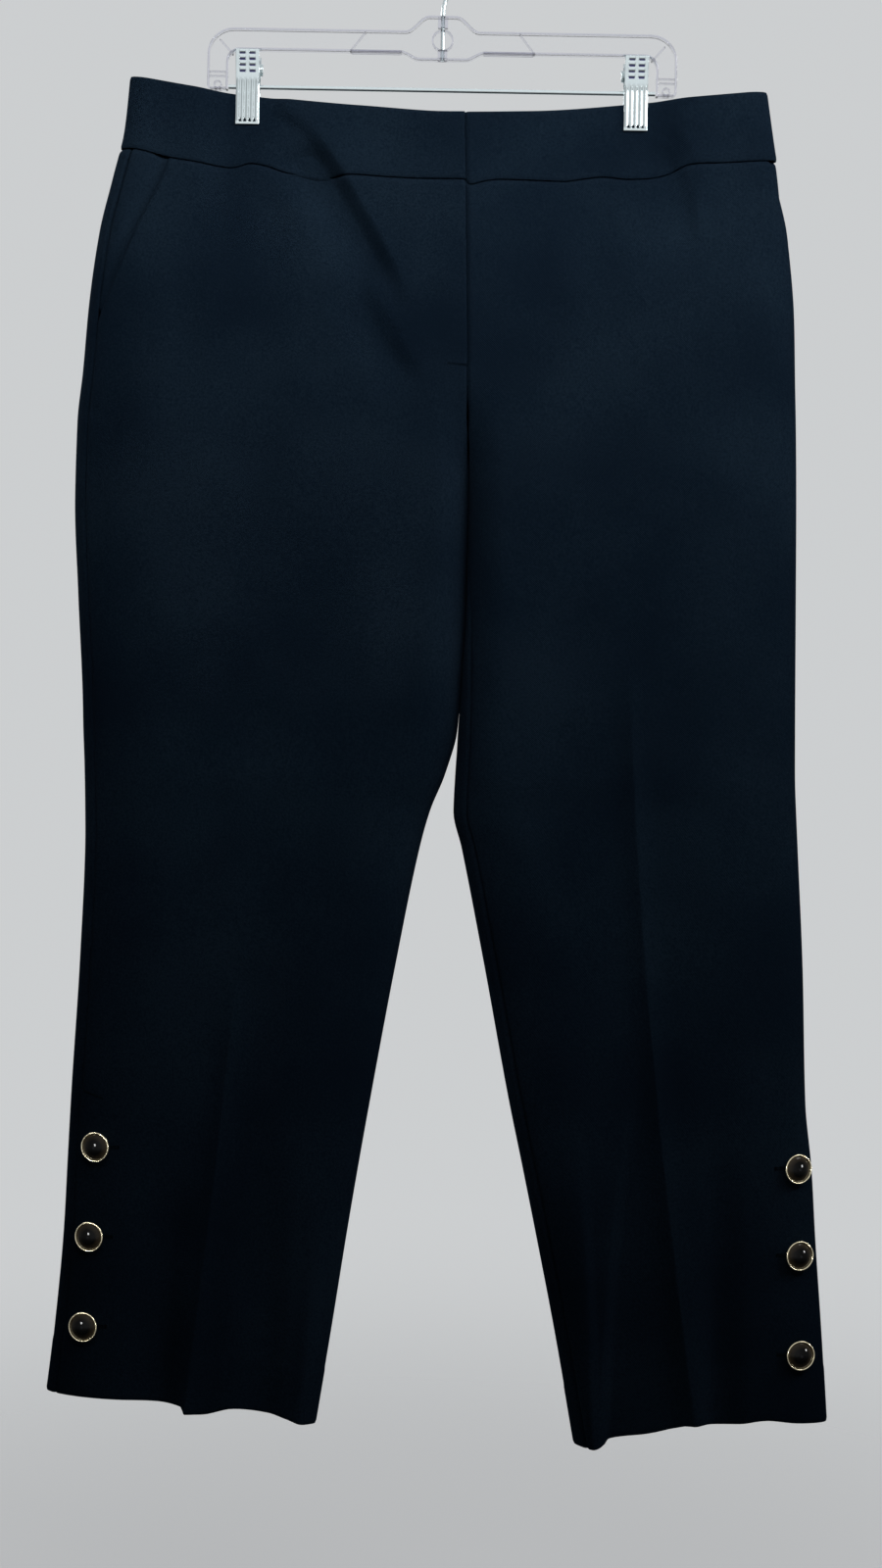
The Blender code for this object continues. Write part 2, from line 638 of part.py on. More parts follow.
def turned(name, profile, finish_material):
    """A profile turned about Z, from the axis on top down the outer side and back to it."""
    data = bpy.data.meshes.new(name)
    corners = [(radius * MM, 0.0, height * MM) for radius, height in profile]
    edges = [(i, i + 1) for i in range(len(corners) - 1)]
    data.from_pydata(corners, edges, [])
    thing = finish(bpy.data.objects.new(name, data), finish_material, smooth=False)
    screw = thing.modifiers.new("turn", "SCREW")
    screw.steps = BUTTON_STEPS
    screw.render_steps = BUTTON_STEPS
    screw.use_merge_vertices = True
    screw.merge_threshold = 0.00001
    screw.use_smooth_shade = True
    return thing


def on_cloth(side, x, z):
    """A place on the front's outer face, and the direction out of the cloth there."""
    step = 1.5
    ahead = depth(side, "front", np.array([x - step, x + step]), z)
    above = [float(depth(side, "front", np.array([x]), z + rise)[0]) for rise in (-step, step)]
    here = float(depth(side, "front", np.array([x]), z)[0])
    slope_x = (ahead[1] - ahead[0]) / (2.0 * step)
    slope_z = (above[1] - above[0]) / (2.0 * step)
    out = Vector((-slope_x, -1.0, -slope_z)).normalized()
    return Vector((x, -here, z)), out


def buttons(side):
    for number, (x, z) in enumerate(BUTTON_CENTRES[side], 1):
        spot, out = on_cloth(side, x, z)
        for kind, profile, finish_material in (
            ("rim", RIM_PROFILE, BUTTON_METAL),
            ("dome", DOME_PROFILE, BUTTON_BLACK),
        ):
            thing = turned(f"button_{kind}_{side}_{number}", profile, finish_material)
            thing.location = spot * MM
            thing.rotation_euler = out.to_track_quat("Z", "Y").to_euler()


# ---- hanger --------------------------------------------------------------------------------


def corner(centre_x, centre_z, radius, from_angle, to_angle):
    """Points round a corner of the hanger's outline, angles in degrees."""
    angles = np.radians(np.linspace(from_angle, to_angle, CORNER_STEPS + 1))
    return [(centre_x + radius * math.cos(a), centre_z + radius * math.sin(a)) for a in angles]


def hanger_outline():
    """The right half from the top's middle down and round to the foot's, then its mirror."""
    wide, inside = HANGER_HALF_WIDTH, ARM_INSIDE
    half = list(HUMP)
    half += corner(wide - OUTER_CORNER, BEAM_TOP - OUTER_CORNER, OUTER_CORNER, 90, 0)
    half += corner(wide - TIP_CORNER, ARM_FOOT + TIP_CORNER, TIP_CORNER, 0, -90)
    half += [(inside, ARM_FOOT)]
    half += corner(inside - INNER_CORNER, BEAM_FOOT - INNER_CORNER, INNER_CORNER, 0, 90)
    half += list(BULGE)
    return half + [(-x, z) for x, z in reversed(half)]


def hanger_body():
    """One flat moulding, made as an outline and drawn out to its thickness."""
    outline = hanger_outline()
    data = bpy.data.curves.new("hanger_body", "CURVE")
    data.dimensions = "2D"
    data.fill_mode = "BOTH"
    data.extrude = HANGER_THICKNESS / 2.0 * MM
    spline = data.splines.new("POLY")
    spline.points.add(len(outline) - 1)
    for point, (x, z) in zip(spline.points, outline):
        point.co = (x * MM, z * MM, 0.0, 1.0)
    spline.use_cyclic_u = True
    thing = bpy.data.objects.new("hanger_body", data)
    thing.rotation_euler = (math.radians(90.0), 0.0, 0.0)
    thing.data.materials.append(CLEAR_PLASTIC)
    PARTS.objects.link(thing)


def hook_route():
    """Up the stem, a bend to the right, then over the rail to the open tip at the left."""
    centre = HOOK_WIRE - HOOK_RADIUS
    angles = np.radians(np.linspace(HOOK_START, HOOK_TIP, HOOK_STEPS + 1))
    arc = [(HOOK_RADIUS * math.cos(a), centre + HOOK_RADIUS * math.sin(a)) for a in angles]
    start = Vector((0.0, HANGER_TOP + LAYER))
    end = Vector(arc[0])
    leaves = Vector((0.0, 13.0))
    meets = Vector((-math.sin(angles[0]), math.cos(angles[0]))) * 9.0
    stem = []
    for share in np.linspace(0.0, 1.0, STEM_STEPS + 1)[:-1]:
        rest = 1.0 - share
        spot = start * rest**3 + (start + leaves) * 3.0 * rest * rest * share
        spot = spot + (end - meets) * 3.0 * rest * share * share + end * share**3
        stem.append((spot.x, spot.y))
    return stem + arc


def hanger_hook():
    route = hook_route()
    data = bpy.data.curves.new("hanger_hook", "CURVE")
    data.dimensions = "3D"
    data.bevel_depth = HOOK_WIRE * MM
    data.bevel_resolution = 2
    data.use_fill_caps = True
    spline = data.splines.new("POLY")
    spline.points.add(len(route) - 1)
    for point, (x, z) in zip(spline.points, route):
        point.co = (x * MM, 0.0, z * MM, 1.0)
    thing = bpy.data.objects.new("hanger_hook", data)
    thing.data.materials.append(BRIGHT_STEEL)
    PARTS.objects.link(thing)


def round_bar(name, radius, from_x, to_x, z, sides):
    """A bar along X."""
    mesh = bmesh.new()
    bmesh.ops.create_cone(
        mesh,
        cap_ends=True,
        segments=sides,
        radius1=radius * MM,
        radius2=radius * MM,
        depth=abs(to_x - from_x) * MM,
    )
    data = bpy.data.meshes.new(name)
    mesh.to_mesh(data)
    mesh.free()
    thing = finish(bpy.data.objects.new(name, data), BRIGHT_STEEL)
    thing.rotation_euler = (0.0, math.radians(90.0), 0.0)
    thing.location = ((from_x + to_x) / 2.0 * MM, 0.0, z * MM)
    return thing


def clip_plate(name, clip_x, layer):
    """A pressed plate, fluted below the spring and toothed at its foot, drawn out from its
    inside face."""
    facing = -1.0 if layer == "front" else 1.0
    mesh = bmesh.new()
    grid = []
    for z, away in PLATE_PROFILE:
        row = []
        for i in range(PLATE_COLUMNS + 1):
            x = clip_x + CLIP_WIDTH * (i / PLATE_COLUMNS - 0.5)
            ridge = i % 2 == 1
            out = away + (FLUTE if ridge and z < FLUTES_FROM else 0.0)
            drop = TOOTH if ridge and z == PLATE_PROFILE[-1][0] else 0.0
            row.append(mesh.verts.new((x * MM, facing * out * MM, (z - drop) * MM)))
        grid.append(row)
    for upper, lower in zip(grid, grid[1:]):
        for i in range(PLATE_COLUMNS):
            square = [upper[i], lower[i], lower[i + 1], upper[i + 1]]
            mesh.faces.new(square if layer == "front" else square[::-1])
    data = bpy.data.meshes.new(name)
    mesh.to_mesh(data)
    mesh.free()
    thing = finish(bpy.data.objects.new(name, data), BRIGHT_STEEL, smooth=False)
    thicken = thing.modifiers.new("sheet metal", "SOLIDIFY")
    thicken.thickness = PLATE * MM
    thicken.offset = 1.0
    return thing


def clip(side):
    inwards = 1.0 if side == "right" else -1.0
    clip_x = -inwards * CLIP_X
    clip_plate(f"clip_front_{side}", clip_x, "front")
    clip_plate(f"clip_back_{side}", clip_x, "back")
    reach = sorted(clip_x + inwards * end for end in SPRING_REACH)
    round_bar(f"clip_spring_{side}", SPRING_RADIUS, *reach, SPRING_HEIGHT, 14)


# ---- the whole -----------------------------------------------------------------------------


def main():
    for side in ("right", "left"):
        rings = rings_of(side)
        panels(side, rings)
        waistband(side)
        pocket_facing(side, rings)
        vent_underlap(side, rings)
        buttons(side)
        clip(side)
    fly_underlap()
    hanger_body()
    hanger_hook()
    rod_end = ARM_INSIDE - LAYER
    round_bar("hanger_rod", ROD_RADIUS, -rod_end, rod_end, ROD_HEIGHT, 12)


main()
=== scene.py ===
"""The looks of the ankle trousers on their clip hanger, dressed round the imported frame.

Every place is in millimetres, in the frame of the solids, and is scaled to metres where a mesh
is made. +Z is up, the front faces -Y, and +X is the wearer's left.
"""

import math

import bmesh
import bpy
import numpy as np
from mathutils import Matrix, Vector

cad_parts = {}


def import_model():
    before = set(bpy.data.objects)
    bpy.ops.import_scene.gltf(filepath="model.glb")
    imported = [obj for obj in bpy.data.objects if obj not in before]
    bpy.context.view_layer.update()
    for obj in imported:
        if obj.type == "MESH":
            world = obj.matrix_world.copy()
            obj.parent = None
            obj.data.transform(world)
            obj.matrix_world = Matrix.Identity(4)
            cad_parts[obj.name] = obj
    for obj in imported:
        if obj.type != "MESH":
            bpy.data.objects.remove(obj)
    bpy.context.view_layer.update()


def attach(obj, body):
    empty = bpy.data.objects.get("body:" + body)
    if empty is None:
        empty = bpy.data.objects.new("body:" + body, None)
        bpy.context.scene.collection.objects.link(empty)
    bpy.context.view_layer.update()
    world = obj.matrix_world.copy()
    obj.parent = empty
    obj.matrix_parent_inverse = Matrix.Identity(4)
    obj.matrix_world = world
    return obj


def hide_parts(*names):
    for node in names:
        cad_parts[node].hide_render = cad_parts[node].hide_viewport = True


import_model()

MM = 0.001
BODY = "root"

# ---- the form's sizes, as the solids have them or a little finer ----------------------------

LAYER = 0.4
UNDER_GAP = 0.7
CLOTH = 1.3

CROTCH = -385.0
WAIST_LEVEL = -161.0
HEM_LEVEL = -1004.0
WAIST_BLEND = 110.0
HEM_BLEND = 260.0

FLY_END = -296.0
FLY_LAP = 0.8
FLY_LAP_WIDTH = 25.0
FLY_LAP_FADE = 20.0
UNDERLAP_REACH = (-18.0, 27.0)
UNDERLAP_TOP = -125.0
UNDERLAP_FOOT = -291.0

CLIP_X = 132.0
CLIP_WIDTH = 16.0
GRIPPED = 1.85
GRIP_FOOT = -131.0
GRIP_FADE = 120.0
BAND_MIDDLE = 7.5
BAND_LOOP = 4.8
BAND_LOOP_START = 141.0
BAND_LOOP_RISE = 28.0
BAND_ROUND = 16.0

RIGHT_SIDE_SEAM = 8.0
LEFT_SIDE_SEAM = 16.0
RIGHT_INSEAM = 10.0
LEFT_INSEAM = 8.0
INSEAM_SETTLES = 190.0

POCKET_WIDTH = 25.8
POCKET_CURVE = 1.6
POCKET_FOOT = -268.0
POCKET_UNDERLAP = 12.0
POCKET_STEP = 10.0
POCKET_SHADE = 2.2

VENT_TOP = -789.0
VENT_UNDER = 25.0
VENT_BEHIND = 6.0

SECTION_COLUMNS = (
    "height", "right_outer", "right_inner", "left_inner", "left_outer", "back_shift",
    "front_depth", "back_depth", "outer_round", "inner_round", "closing",
)
SECTIONS = (
    (-95, -212, 15.2, 15.6, 220.5, -23, 8, 8, 20, 30, 0),
    (-135, -215.6, 15.8, 16.2, 226.6, -23, 9, 9, 22, 30, 0),
    (-168, -223, 16.8, 17.2, 232.2, -23, 12, 12, 26, 30, 0),
    (-205, -231.4, 17.7, 18.1, 237.6, -22, 15, 15, 38, 30, 0),
    (-255, -237.7, 19, 19.4, 242.5, -18, 18, 18, 52, 28, 0),
    (-300, -241, 20.2, 20.6, 244, -11, 20, 20, 62, 26, 0),
    (-335, -244.2, 21.4, 21.8, 245.2, -5, 21, 21, 67, 25, 0.28),
    (-385, -244.9, 22.8, 23.3, 246.3, 0, 22, 22, 70, 25, 1),
    (-450, -241.7, 22.3, 22.8, 247.1, 0, 22, 22, 72, 28, 1),
    (-520, -237.4, 19.4, 19.9, 247.9, 0, 21.5, 21.5, 72, 32, 1),
    (-542, -236.6, 17.7, 18.8, 248.2, 0, 21, 21, 72, 34, 1),
    (-570, -235.2, 10.4, 17.2, 248.7, 0, 21, 21, 72, 38, 1),
    (-595, -234.4, 0.6, 16.4, 250, 0, 20, 20, 70, 44, 1),
    (-620, -233.9, -6, 22.4, 251.5, 0, 20, 20, 70, 50, 1),
    (-700, -236.1, -21.1, 39.3, 256.2, 0, 19, 19, 66, 60, 1),
    (-790, -240.4, -36.4, 57.3, 259.6, 0, 17, 17, 58, 56, 1),
    (-835, -242.1, -43.7, 67.3, 264.6, 0, 16, 16, 54, 52, 1),
    (-880, -243.7, -50.6, 77.1, 267.8, 0, 15, 15, 50, 50, 1),
    (-950, -249, -60.7, 91.8, 273.6, 0, 14, 14, 46, 46, 1),
    (-1030, -258, -72.8, 107, 279.5, 0, 13.5, 13.5, 42, 42, 1),
)

# Height along the waistband's top edge, the waist seam and the hems: across, height. The seam
# and the hems have the small lifts and steps that the solids leave out.
BAND_TOP = (
    (-216, -98.8), (-157, -108), (-127, -111.3), (-60, -117),
    (5, -121.6), (60, -119.2), (125, -112.6), (165, -108.4), (224, -102.4),
)
WAIST_SEAM = (
    (-226, -148.2), (-209, -149.2), (-185.5, -154.6), (-165.5, -157.6), (-142, -160.2),
    (-128.5, -156.8), (-119, -158.4), (-105.7, -162.2), (-79, -165), (-59, -165),
    (-32.5, -166.2), (-11.4, -167.1), (15.5, -167.2), (20.4, -170.6), (30.2, -168),
    (41, -166.3), (83, -166.2), (100, -163.6), (111.3, -162.2), (126.5, -163.6),
    (136.5, -163.2), (151.7, -160.4), (169.5, -153.4), (192.7, -152), (234, -148.8),
)
HEMS = (
    (-262, -992.7), (-221, -994.9), (-184, -996.8), (-173.5, -997.6), (-160.5, -999.2),
    (-158, -1004.6), (-146.6, -1004.8), (-126, -1000.8), (-101.5, -1004), (-89.5, -1007.8),
    (-77.5, -1012), (-60, -1014), (95, -1022.5), (112.5, -1024.4), (118.5, -1024.6),
    (125.7, -1022.6), (128.6, -1018.8), (154.5, -1013.6), (175, -1007.4), (181, -1005.9),
    (192, -1006.2), (200, -1006.6), (215, -1005.4), (236, -1002.4), (254.7, -1004.2),
    (284, -1005.6),
)

# Folds run down, through three places. Their widths are to the left and the right, seen from
# the front.
FOLD_COLUMNS = ("start", "bend", "end", "left_width", "right_width", "rise", "shape")
FRONT_FOLDS = (
    ((-98, -137), (-62, -190), (-22, -264), 34, 12, -7.2, "clip"),
    ((-62, -228), (-40, -275), (-10, -316), 28, 14, -3.3, "soft"),
    ((-129, -138), (-131, -205), (-126, -300), 22, 22, 0.6, "soft"),
    ((-154, -168), (-168, -240), (-158, -350), 19, 19, -0.6, "soft"),
    ((143, -134), (162, -172), (168, -232), 24, 11, -2.2, "clip"),
    ((130, -138), (127, -200), (130, -290), 22, 22, 0.5, "soft"),
    ((110, -145), (78, -190), (44, -268), 17, 17, -0.2, "soft"),
    ((-8, -352), (-50, -374), (-112, -366), 18, 18, -0.3, "soft"),
    ((50, -350), (88, -372), (142, -362), 18, 18, -0.2, "soft"),
    ((-62, -420), (-96, -560), (-84, -720), 42, 42, -0.6, "soft"),
    ((74, -430), (100, -560), (92, -720), 36, 36, -0.5, "soft"),
    ((-126, -690), (-141, -850), (-165, -1060), 17, 17, 2.4, "crease"),
    ((133, -470), (149, -720), (194, -1060), 17, 17, 3.5, "crease"),
    ((-160, -800), (-173, -930), (-179, -1150), 34, 17, -3.2, "hem"),
    ((-100, -800), (-104, -930), (-105, -1150), 30, 20, -3.4, "hem"),
    ((-66, -830), (-76, -960), (-82, -1150), 12, 12, 2.8, "hem"),
    ((100, -790), (112, -930), (121, -1150), 20, 8, 3.6, "hem"),
    ((150, -760), (134, -920), (131, -1150), 10, 48, -6.4, "hem"),
    ((173, -840), (183, -950), (189, -1150), 20, 12, 2.6, "hem"),
    ((196, -780), (200, -920), (203, -1150), 15, 22, -4.4, "hem"),
)
BACK_FOLDS = (
    ((-131, -138), (-129, -215), (-118, -310), 24, 24, 2.6, "soft"),
    ((131, -138), (130, -215), (122, -310), 24, 24, 2.4, "soft"),
    ((-108, -146), (-64, -200), (-24, -292), 19, 19, -3.4, "soft"),
    ((106, -146), (58, -205), (6, -296), 19, 19, -2.8, "soft"),
    ((-160, -150), (-170, -205), (-198, -262), 17, 17, -2.4, "soft"),
    ((158, -150), (172, -200), (203, -250), 17, 17, -2.6, "soft"),
    ((-30, -372), (-104, -404), (-186, -386), 19, 19, -2.4, "soft"),
    ((66, -376), (124, -408), (196, -392), 19, 19, -2.2, "soft"),
    ((-56, -640), (-112, -660), (-178, -640), 17, 17, -1.8, "soft"),
    ((60, -652), (122, -674), (206, -654), 17, 17, -1.7, "soft"),
    ((-118, -460), (-136, -750), (-166, -1060), 17, 17, 3.4, "crease"),
    ((134, -460), (152, -750), (193, -1060), 17, 17, 3.4, "crease"),
    ((-104, -820), (-113, -930), (-112, -1080), 24, 24, -3.6, "soft"),
    ((-204, -850), (-212, -940), (-220, -1080), 20, 20, -2.4, "soft"),
    ((142, -800), (158, -930), (168, -1080), 24, 24, -3.6, "soft"),
    ((230, -850), (238, -950), (246, -1080), 19, 19, -2.4, "soft"),
)
# What a closer look at the front shows beside them. These may start in the waistband.
FINE_FOLDS = (
    ((-117, -115), (-80, -139), (-50, -190), 10, 34, 2.6, "clip"),
    ((-236, -318), (-233, -327), (-224, -334), 6, 6, -1.0, "soft"),
    ((-238, -270), (-233, -277), (-226, -281), 6, 6, -0.8, "soft"),
    ((147, -132), (166, -152), (166, -190), 20, 9, -1.2, "clip"),
)
FOLD_STEPS = 14
# The share of a fold's length over which it rises at its start and fades at its end.
FOLD_FADES = {"soft": (0.3, 0.3), "crease": (0.3, 0.12), "clip": (0.16, 0.3), "hem": (0.6, 0.05)}
FOLD_CALM = 14.0
MAIN_FOLDS_FADE = 25.0

DOME_RADIUS = 8.5
BUTTON_CENTRES = {
    "right": ((-220.0, -825.1), (-223.3, -885.8), (-226.5, -946.6)),
    "left": ((252.1, -832.3), (254.1, -890.7), (255.9, -957.7)),
}

ROD_HEIGHT = -104.5
ROD_RADIUS = 1.5
HANGER_THICKNESS = 4.5
WEB = 1.7  # thickness of the hanger inside its rim
HANGER_TOP = -54.2
BEAM_TOP = -64.6
BEAM_FOOT = -79.6
ARM_FOOT = -106.6
HANGER_HALF_WIDTH = 159.8
ARM_INSIDE = 145.6
OUTER_CORNER = 18.0
INNER_CORNER = 8.0
TIP_CORNER = 3.0

HOOK_WIRE = 1.5
HOOK_RADIUS = 20.0
HOOK_START = -58.0
HOOK_TIP = 196.0

PLATE_PROFILE = (
    (-81.5, 7.8), (-87.0, 6.4), (-93.0, 4.75), (-98.5, 3.5), (-104.5, 1.95),
    (-110.5, 2.3), (-120.0, 2.3), (-129.5, 2.3),
)
SPRING_HEIGHT = -93.0
SPRING_RADIUS = 4.2
SPRING_REACH = (-5.0, 10.0)

# ---- sizes that only the looks have --------------------------------------------------------

SEAM = 0.06  # the gap at a seam, where the solids have a wider one
SHELL = 1.1  # the shells' thickness, under their solids' walls
UNDER_SHELL = SHELL * 0.8
BAND_SHELL = 1.5
TOUCH = 0.3  # how far the two halves close on each other where they meet
TOUCH_FOOT = -560.0
TOUCH_FADE = 20.0

DENSE = 240  # points along each layer of a section
BEND_SHARE = 0.4
ROW_STEP = 3.4
COLUMN_STEP = 3.2
PANEL_ROUND = {"front": 235.0, "back": 250.0}  # about each panel's way round the leg
BAND_HEIGHT = 45.0
BAND_ROWS = 14
BAND_COLUMNS = 170
FACING_COLUMNS = 14
UNDERLAP_COLUMNS = 10
FLY_ROWS = 50
FLY_COLUMNS = 16
FLY_SUNK = 1.6
FACING_SUNK = CLOTH + UNDER_GAP + 0.5  # at the pocket's slant edge
FACING_FOOT = POCKET_FOOT - 2.0
EDGE_STEPS = (0.0, 0.45, 1.0, 1.8, 2.9, 4.6)  # rows and columns this far in from an edge

# How deep an edge turns in, and over what width.
SEAM_TURN = (1.5, 1.1)
FOLDED_EDGE = (0.28, 0.8)
SLANT_EDGE = (1.1, 1.1)
UNDER_FRONT = (1.7, 1.6)
UNDER_BAND = (1.8, 1.9)
BAND_FOOT_TURN = (0.5, 0.9)
HEM_TURN = (0.5, 1.1)
# The height over which each of these comes in, down or up the leg.
PARTING = 120.0
SEAT_SEAM_FADE = 60.0
VENT_FADE = 4.0
FLY_FADE = 10.0
POCKET_FADE = 5.0
HEM_FADE = 3.0
WAIST_LAP = 0.3  # how far a panel's sunk top edge runs on behind the waistband's foot
HEM_DEPTH = 38.0  # height of the turned-up hem
HEM_RISE = 0.3  # how proud its doubled cloth stands

UNEVEN_SEED = 7
UNEVEN_WAVES = 26
UNEVEN_RISE = 0.05
UNEVEN_LENGTHS = (34.0, 120.0)
UNEVEN_HEADING = 0.6


# ---- small helpers -------------------------------------------------------------------------


def eased(share):
    """A smooth rise from 0 to 1."""
    share = np.clip(share, 0.0, 1.0)
    return share * share * (3.0 - 2.0 * share)


def rounded(share):
    """A quarter of an ellipse: 0 and upright at a fold, 1 and level from the full share on."""
    share = np.clip(share, 0.0, 1.0)
    return np.sqrt(1.0 - (1.0 - share) ** 2)


def curve_through(places, values):
    """A smooth curve through the points that never swings past them."""
    order = np.argsort(places)
    places = np.asarray(places, float)[order]
    values = np.asarray(values, float)[order]
    widths = np.diff(places)
    slopes = np.diff(values) / widths
    bends = np.zeros(len(places))
    bends[0] = slopes[0]
    bends[-1] = slopes[-1]
    for i in range(1, len(places) - 1):
        before, after = slopes[i - 1], slopes[i]
        if before * after > 0.0:
            bends[i] = 2.0 * before * after / (before + after)

    def at(place):
        place = np.clip(place, places[0], places[-1])
        i = np.clip(np.searchsorted(places, place) - 1, 0, len(widths) - 1)
        t = (place - places[i]) / widths[i]
        start = values[i] * (1.0 + 2.0 * t) * (1.0 - t) ** 2
        end = values[i + 1] * t * t * (3.0 - 2.0 * t)
        turn = widths[i] * t * (1.0 - t) * ((1.0 - t) * bends[i] - t * bends[i + 1])
        return start + end + turn

    return at


def column(name):
    i = SECTION_COLUMNS.index(name)
    return curve_through([row[0] for row in SECTIONS], [row[i] for row in SECTIONS])


SECTION = {name: column(name) for name in SECTION_COLUMNS[1:]}
band_top = curve_through(*zip(*BAND_TOP))
waist_seam = curve_through(*zip(*WAIST_SEAM))
hems = curve_through(*zip(*HEMS))


def new_object(name, data):
    """An object in the scene."""
    thing = bpy.data.objects.new(name, data)
    bpy.context.scene.collection.objects.link(thing)
    return thing


def finish(thing, material, slot, *nodes):
    """Puts a piece on the body, in the place of the solids it stands for."""
    thing.data.materials.append(material)
    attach(thing, BODY)
    if nodes:
        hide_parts(*nodes)
    return thing


# ---- the cloth's form ----------------------------------------------------------------------


def fold_path(fold):
    """A fold's middle line: a smooth bend through its three places."""
    start, bend, end = (np.array(spot, float) for spot in fold[:3])
    turn = 2.0 * bend - 0.5 * (start + end)
    t = np.linspace(0.0, 1.0, FOLD_STEPS + 1)[:, None]
    return (1.0 - t) ** 2 * start + 2.0 * t * (1.0 - t) * turn + t * t * end


def with_paths(folds):
    return [(dict(zip(FOLD_COLUMNS, fold)), fold_path(fold)) for fold in folds]


MAIN_FOLDS = {"front": with_paths(FRONT_FOLDS), "back": with_paths(BACK_FOLDS)}
SMALL_FOLDS = {"front": with_paths(FINE_FOLDS), "back": []}


def fold_rise(folds, x, z):
    """How far some folds lift the cloth at these places."""
    rise = np.zeros(np.shape(x))
    for fold, path in folds:
        nearest = np.full(np.shape(x), np.inf)
        along = np.zeros(np.shape(x))
        for step in range(FOLD_STEPS):
            from_x, from_z = path[step]
            run_x, run_z = path[step + 1] - path[step]
            share = ((x - from_x) * run_x + (z - from_z) * run_z) / (run_x**2 + run_z**2)
            share = np.clip(share, 0.0, 1.0)
            away = np.hypot(x - from_x - share * run_x, z - from_z - share * run_z)
            on_right = run_x * (z - from_z) > run_z * (x - from_x)
            away = away / np.where(on_right, fold["right_width"], fold["left_width"])
            closer = away < nearest
            nearest = np.where(closer, away, nearest)
            along = np.where(closer, (step + share) / FOLD_STEPS, along)
        across = np.clip(nearest, 0.0, 1.0)
        soft = np.cos(0.5 * math.pi * across) ** 2
        profile = (1.0 - across) ** 2 if fold["shape"] == "crease" else soft
        rising, fading = FOLD_FADES[fold["shape"]]
        ends = eased(along / rising) * eased((1.0 - along) / fading)
        rise = rise + fold["rise"] * profile * ends
    return rise


def uneven_waves(seed):
    """Long, low, seeded waves, each as its two wave numbers, its start and its height."""
    draw = np.random.default_rng(seed)
    length = draw.uniform(*UNEVEN_LENGTHS, UNEVEN_WAVES)
    heading = draw.uniform(-UNEVEN_HEADING, UNEVEN_HEADING, UNEVEN_WAVES)
    start = draw.uniform(0.0, 2.0 * math.pi, UNEVEN_WAVES)
    number = 2.0 * math.pi / length
    return list(zip(number * np.cos(heading), number * np.sin(heading), start))


UNEVEN = {layer: uneven_waves(UNEVEN_SEED + i) for i, layer in enumerate(("front", "back"))}


def unevenness(layer, x, z):
    """What no two stretches of hung cloth have alike."""
    rise = np.zeros(np.shape(x))
    for across, down, start in UNEVEN[layer]:
        rise = rise + UNEVEN_RISE * np.sin(across * x + down * z + start)
    return rise


def gripped_depth(x, from_outer):
    """A waistband layer's distance from the hanging plane: nothing to speak of in the clips,
    and bellied out between and outside them."""
    reach = np.abs(x)
    middle = np.clip(reach / (CLIP_X - CLIP_WIDTH / 2.0), 0.0, 1.0)
    belly = BAND_MIDDLE * np.cos(0.5 * math.pi * middle) ** 2
    belly = belly + BAND_LOOP * eased((reach - BAND_LOOP_START) / BAND_LOOP_RISE)
    return (GRIPPED + belly) * rounded(from_outer / BAND_ROUND)


def inner_edge(side, layer, z):
    """Across, at the centre seam above the crotch and at the leg's inner fold below it."""
    shift = SECTION["back_shift"](z) if layer == "back" else 0.0
    touch = TOUCH if side == "right" else -TOUCH
    return SECTION[side + "_inner"](z) + shift + touch * eased((z - TOUCH_FOOT) / TOUCH_FADE)


def depth(side, layer, x, z, lapped=True):
    """How far a layer's outer face stands from the hanging plane."""
    from_outer = np.abs(SECTION[side + "_outer"](z) - x)
    from_inner = np.abs(x - inner_edge(side, layer, z))
    closing = SECTION["closing"](z)
    share = from_inner / SECTION["inner_round"](z)
    sharp = closing * closing
    sunk = sharp * rounded(share) + (1.0 - sharp) * np.sin(0.5 * math.pi * np.clip(share, 0, 1))
    hung = SECTION[layer + "_depth"](z) * rounded(from_outer / SECTION["outer_round"](z))
    hung = hung * (1.0 - closing * (1.0 - sunk))
    grip = eased((z - GRIP_FOOT + GRIP_FADE) / GRIP_FADE)
    stands = hung + (gripped_depth(x, from_outer) - hung) * grip
    calm = eased(from_outer / FOLD_CALM) * (1.0 - closing * (1.0 - eased(from_inner / FOLD_CALM)))
    stands = stands + calm * fold_rise(SMALL_FOLDS[layer], x, z)
    calm = calm * eased((GRIP_FOOT - z) / MAIN_FOLDS_FADE)
    stands = stands + calm * (fold_rise(MAIN_FOLDS[layer], x, z) + unevenness(layer, x, z))
    if lapped and side == "right" and layer == "front":
        near_fly = 1.0 - eased(from_inner / FLY_LAP_WIDTH)
        stands = stands + FLY_LAP * near_fly * eased((z - FLY_END) / FLY_LAP_FADE)
    return stands


def panel_heights(levels):
    """The height across rows of the panels: they follow the waist seam at the top and the hem
    at the foot."""
    levels = np.reshape(levels, (-1, 1))
    near_waist = eased((levels - WAIST_LEVEL + WAIST_BLEND) / WAIST_BLEND)
    near_hem = eased((HEM_LEVEL + HEM_BLEND - levels) / HEM_BLEND)

    def heights(x):
        to_seam = near_waist * (waist_seam(x) + WAIST_LAP - WAIST_LEVEL)
        return levels + to_seam + near_hem * (hems(x) - HEM_LEVEL)

    return heights


def band_heights(shares):
    """The height across rows of the waistband, from its seam at 0 to its top edge at 1."""
    shares = np.reshape(shares, (-1, 1))

    def heights(x):
        return (1.0 - shares) * waist_seam(x) + shares * band_top(x)

    return heights


def edge_along(curve, heights):
    """Where rows meet an edge that is given by height."""
    x = curve(heights(np.zeros((1, 1))))
    for _ in range(6):
        x = curve(heights(x))
    return x


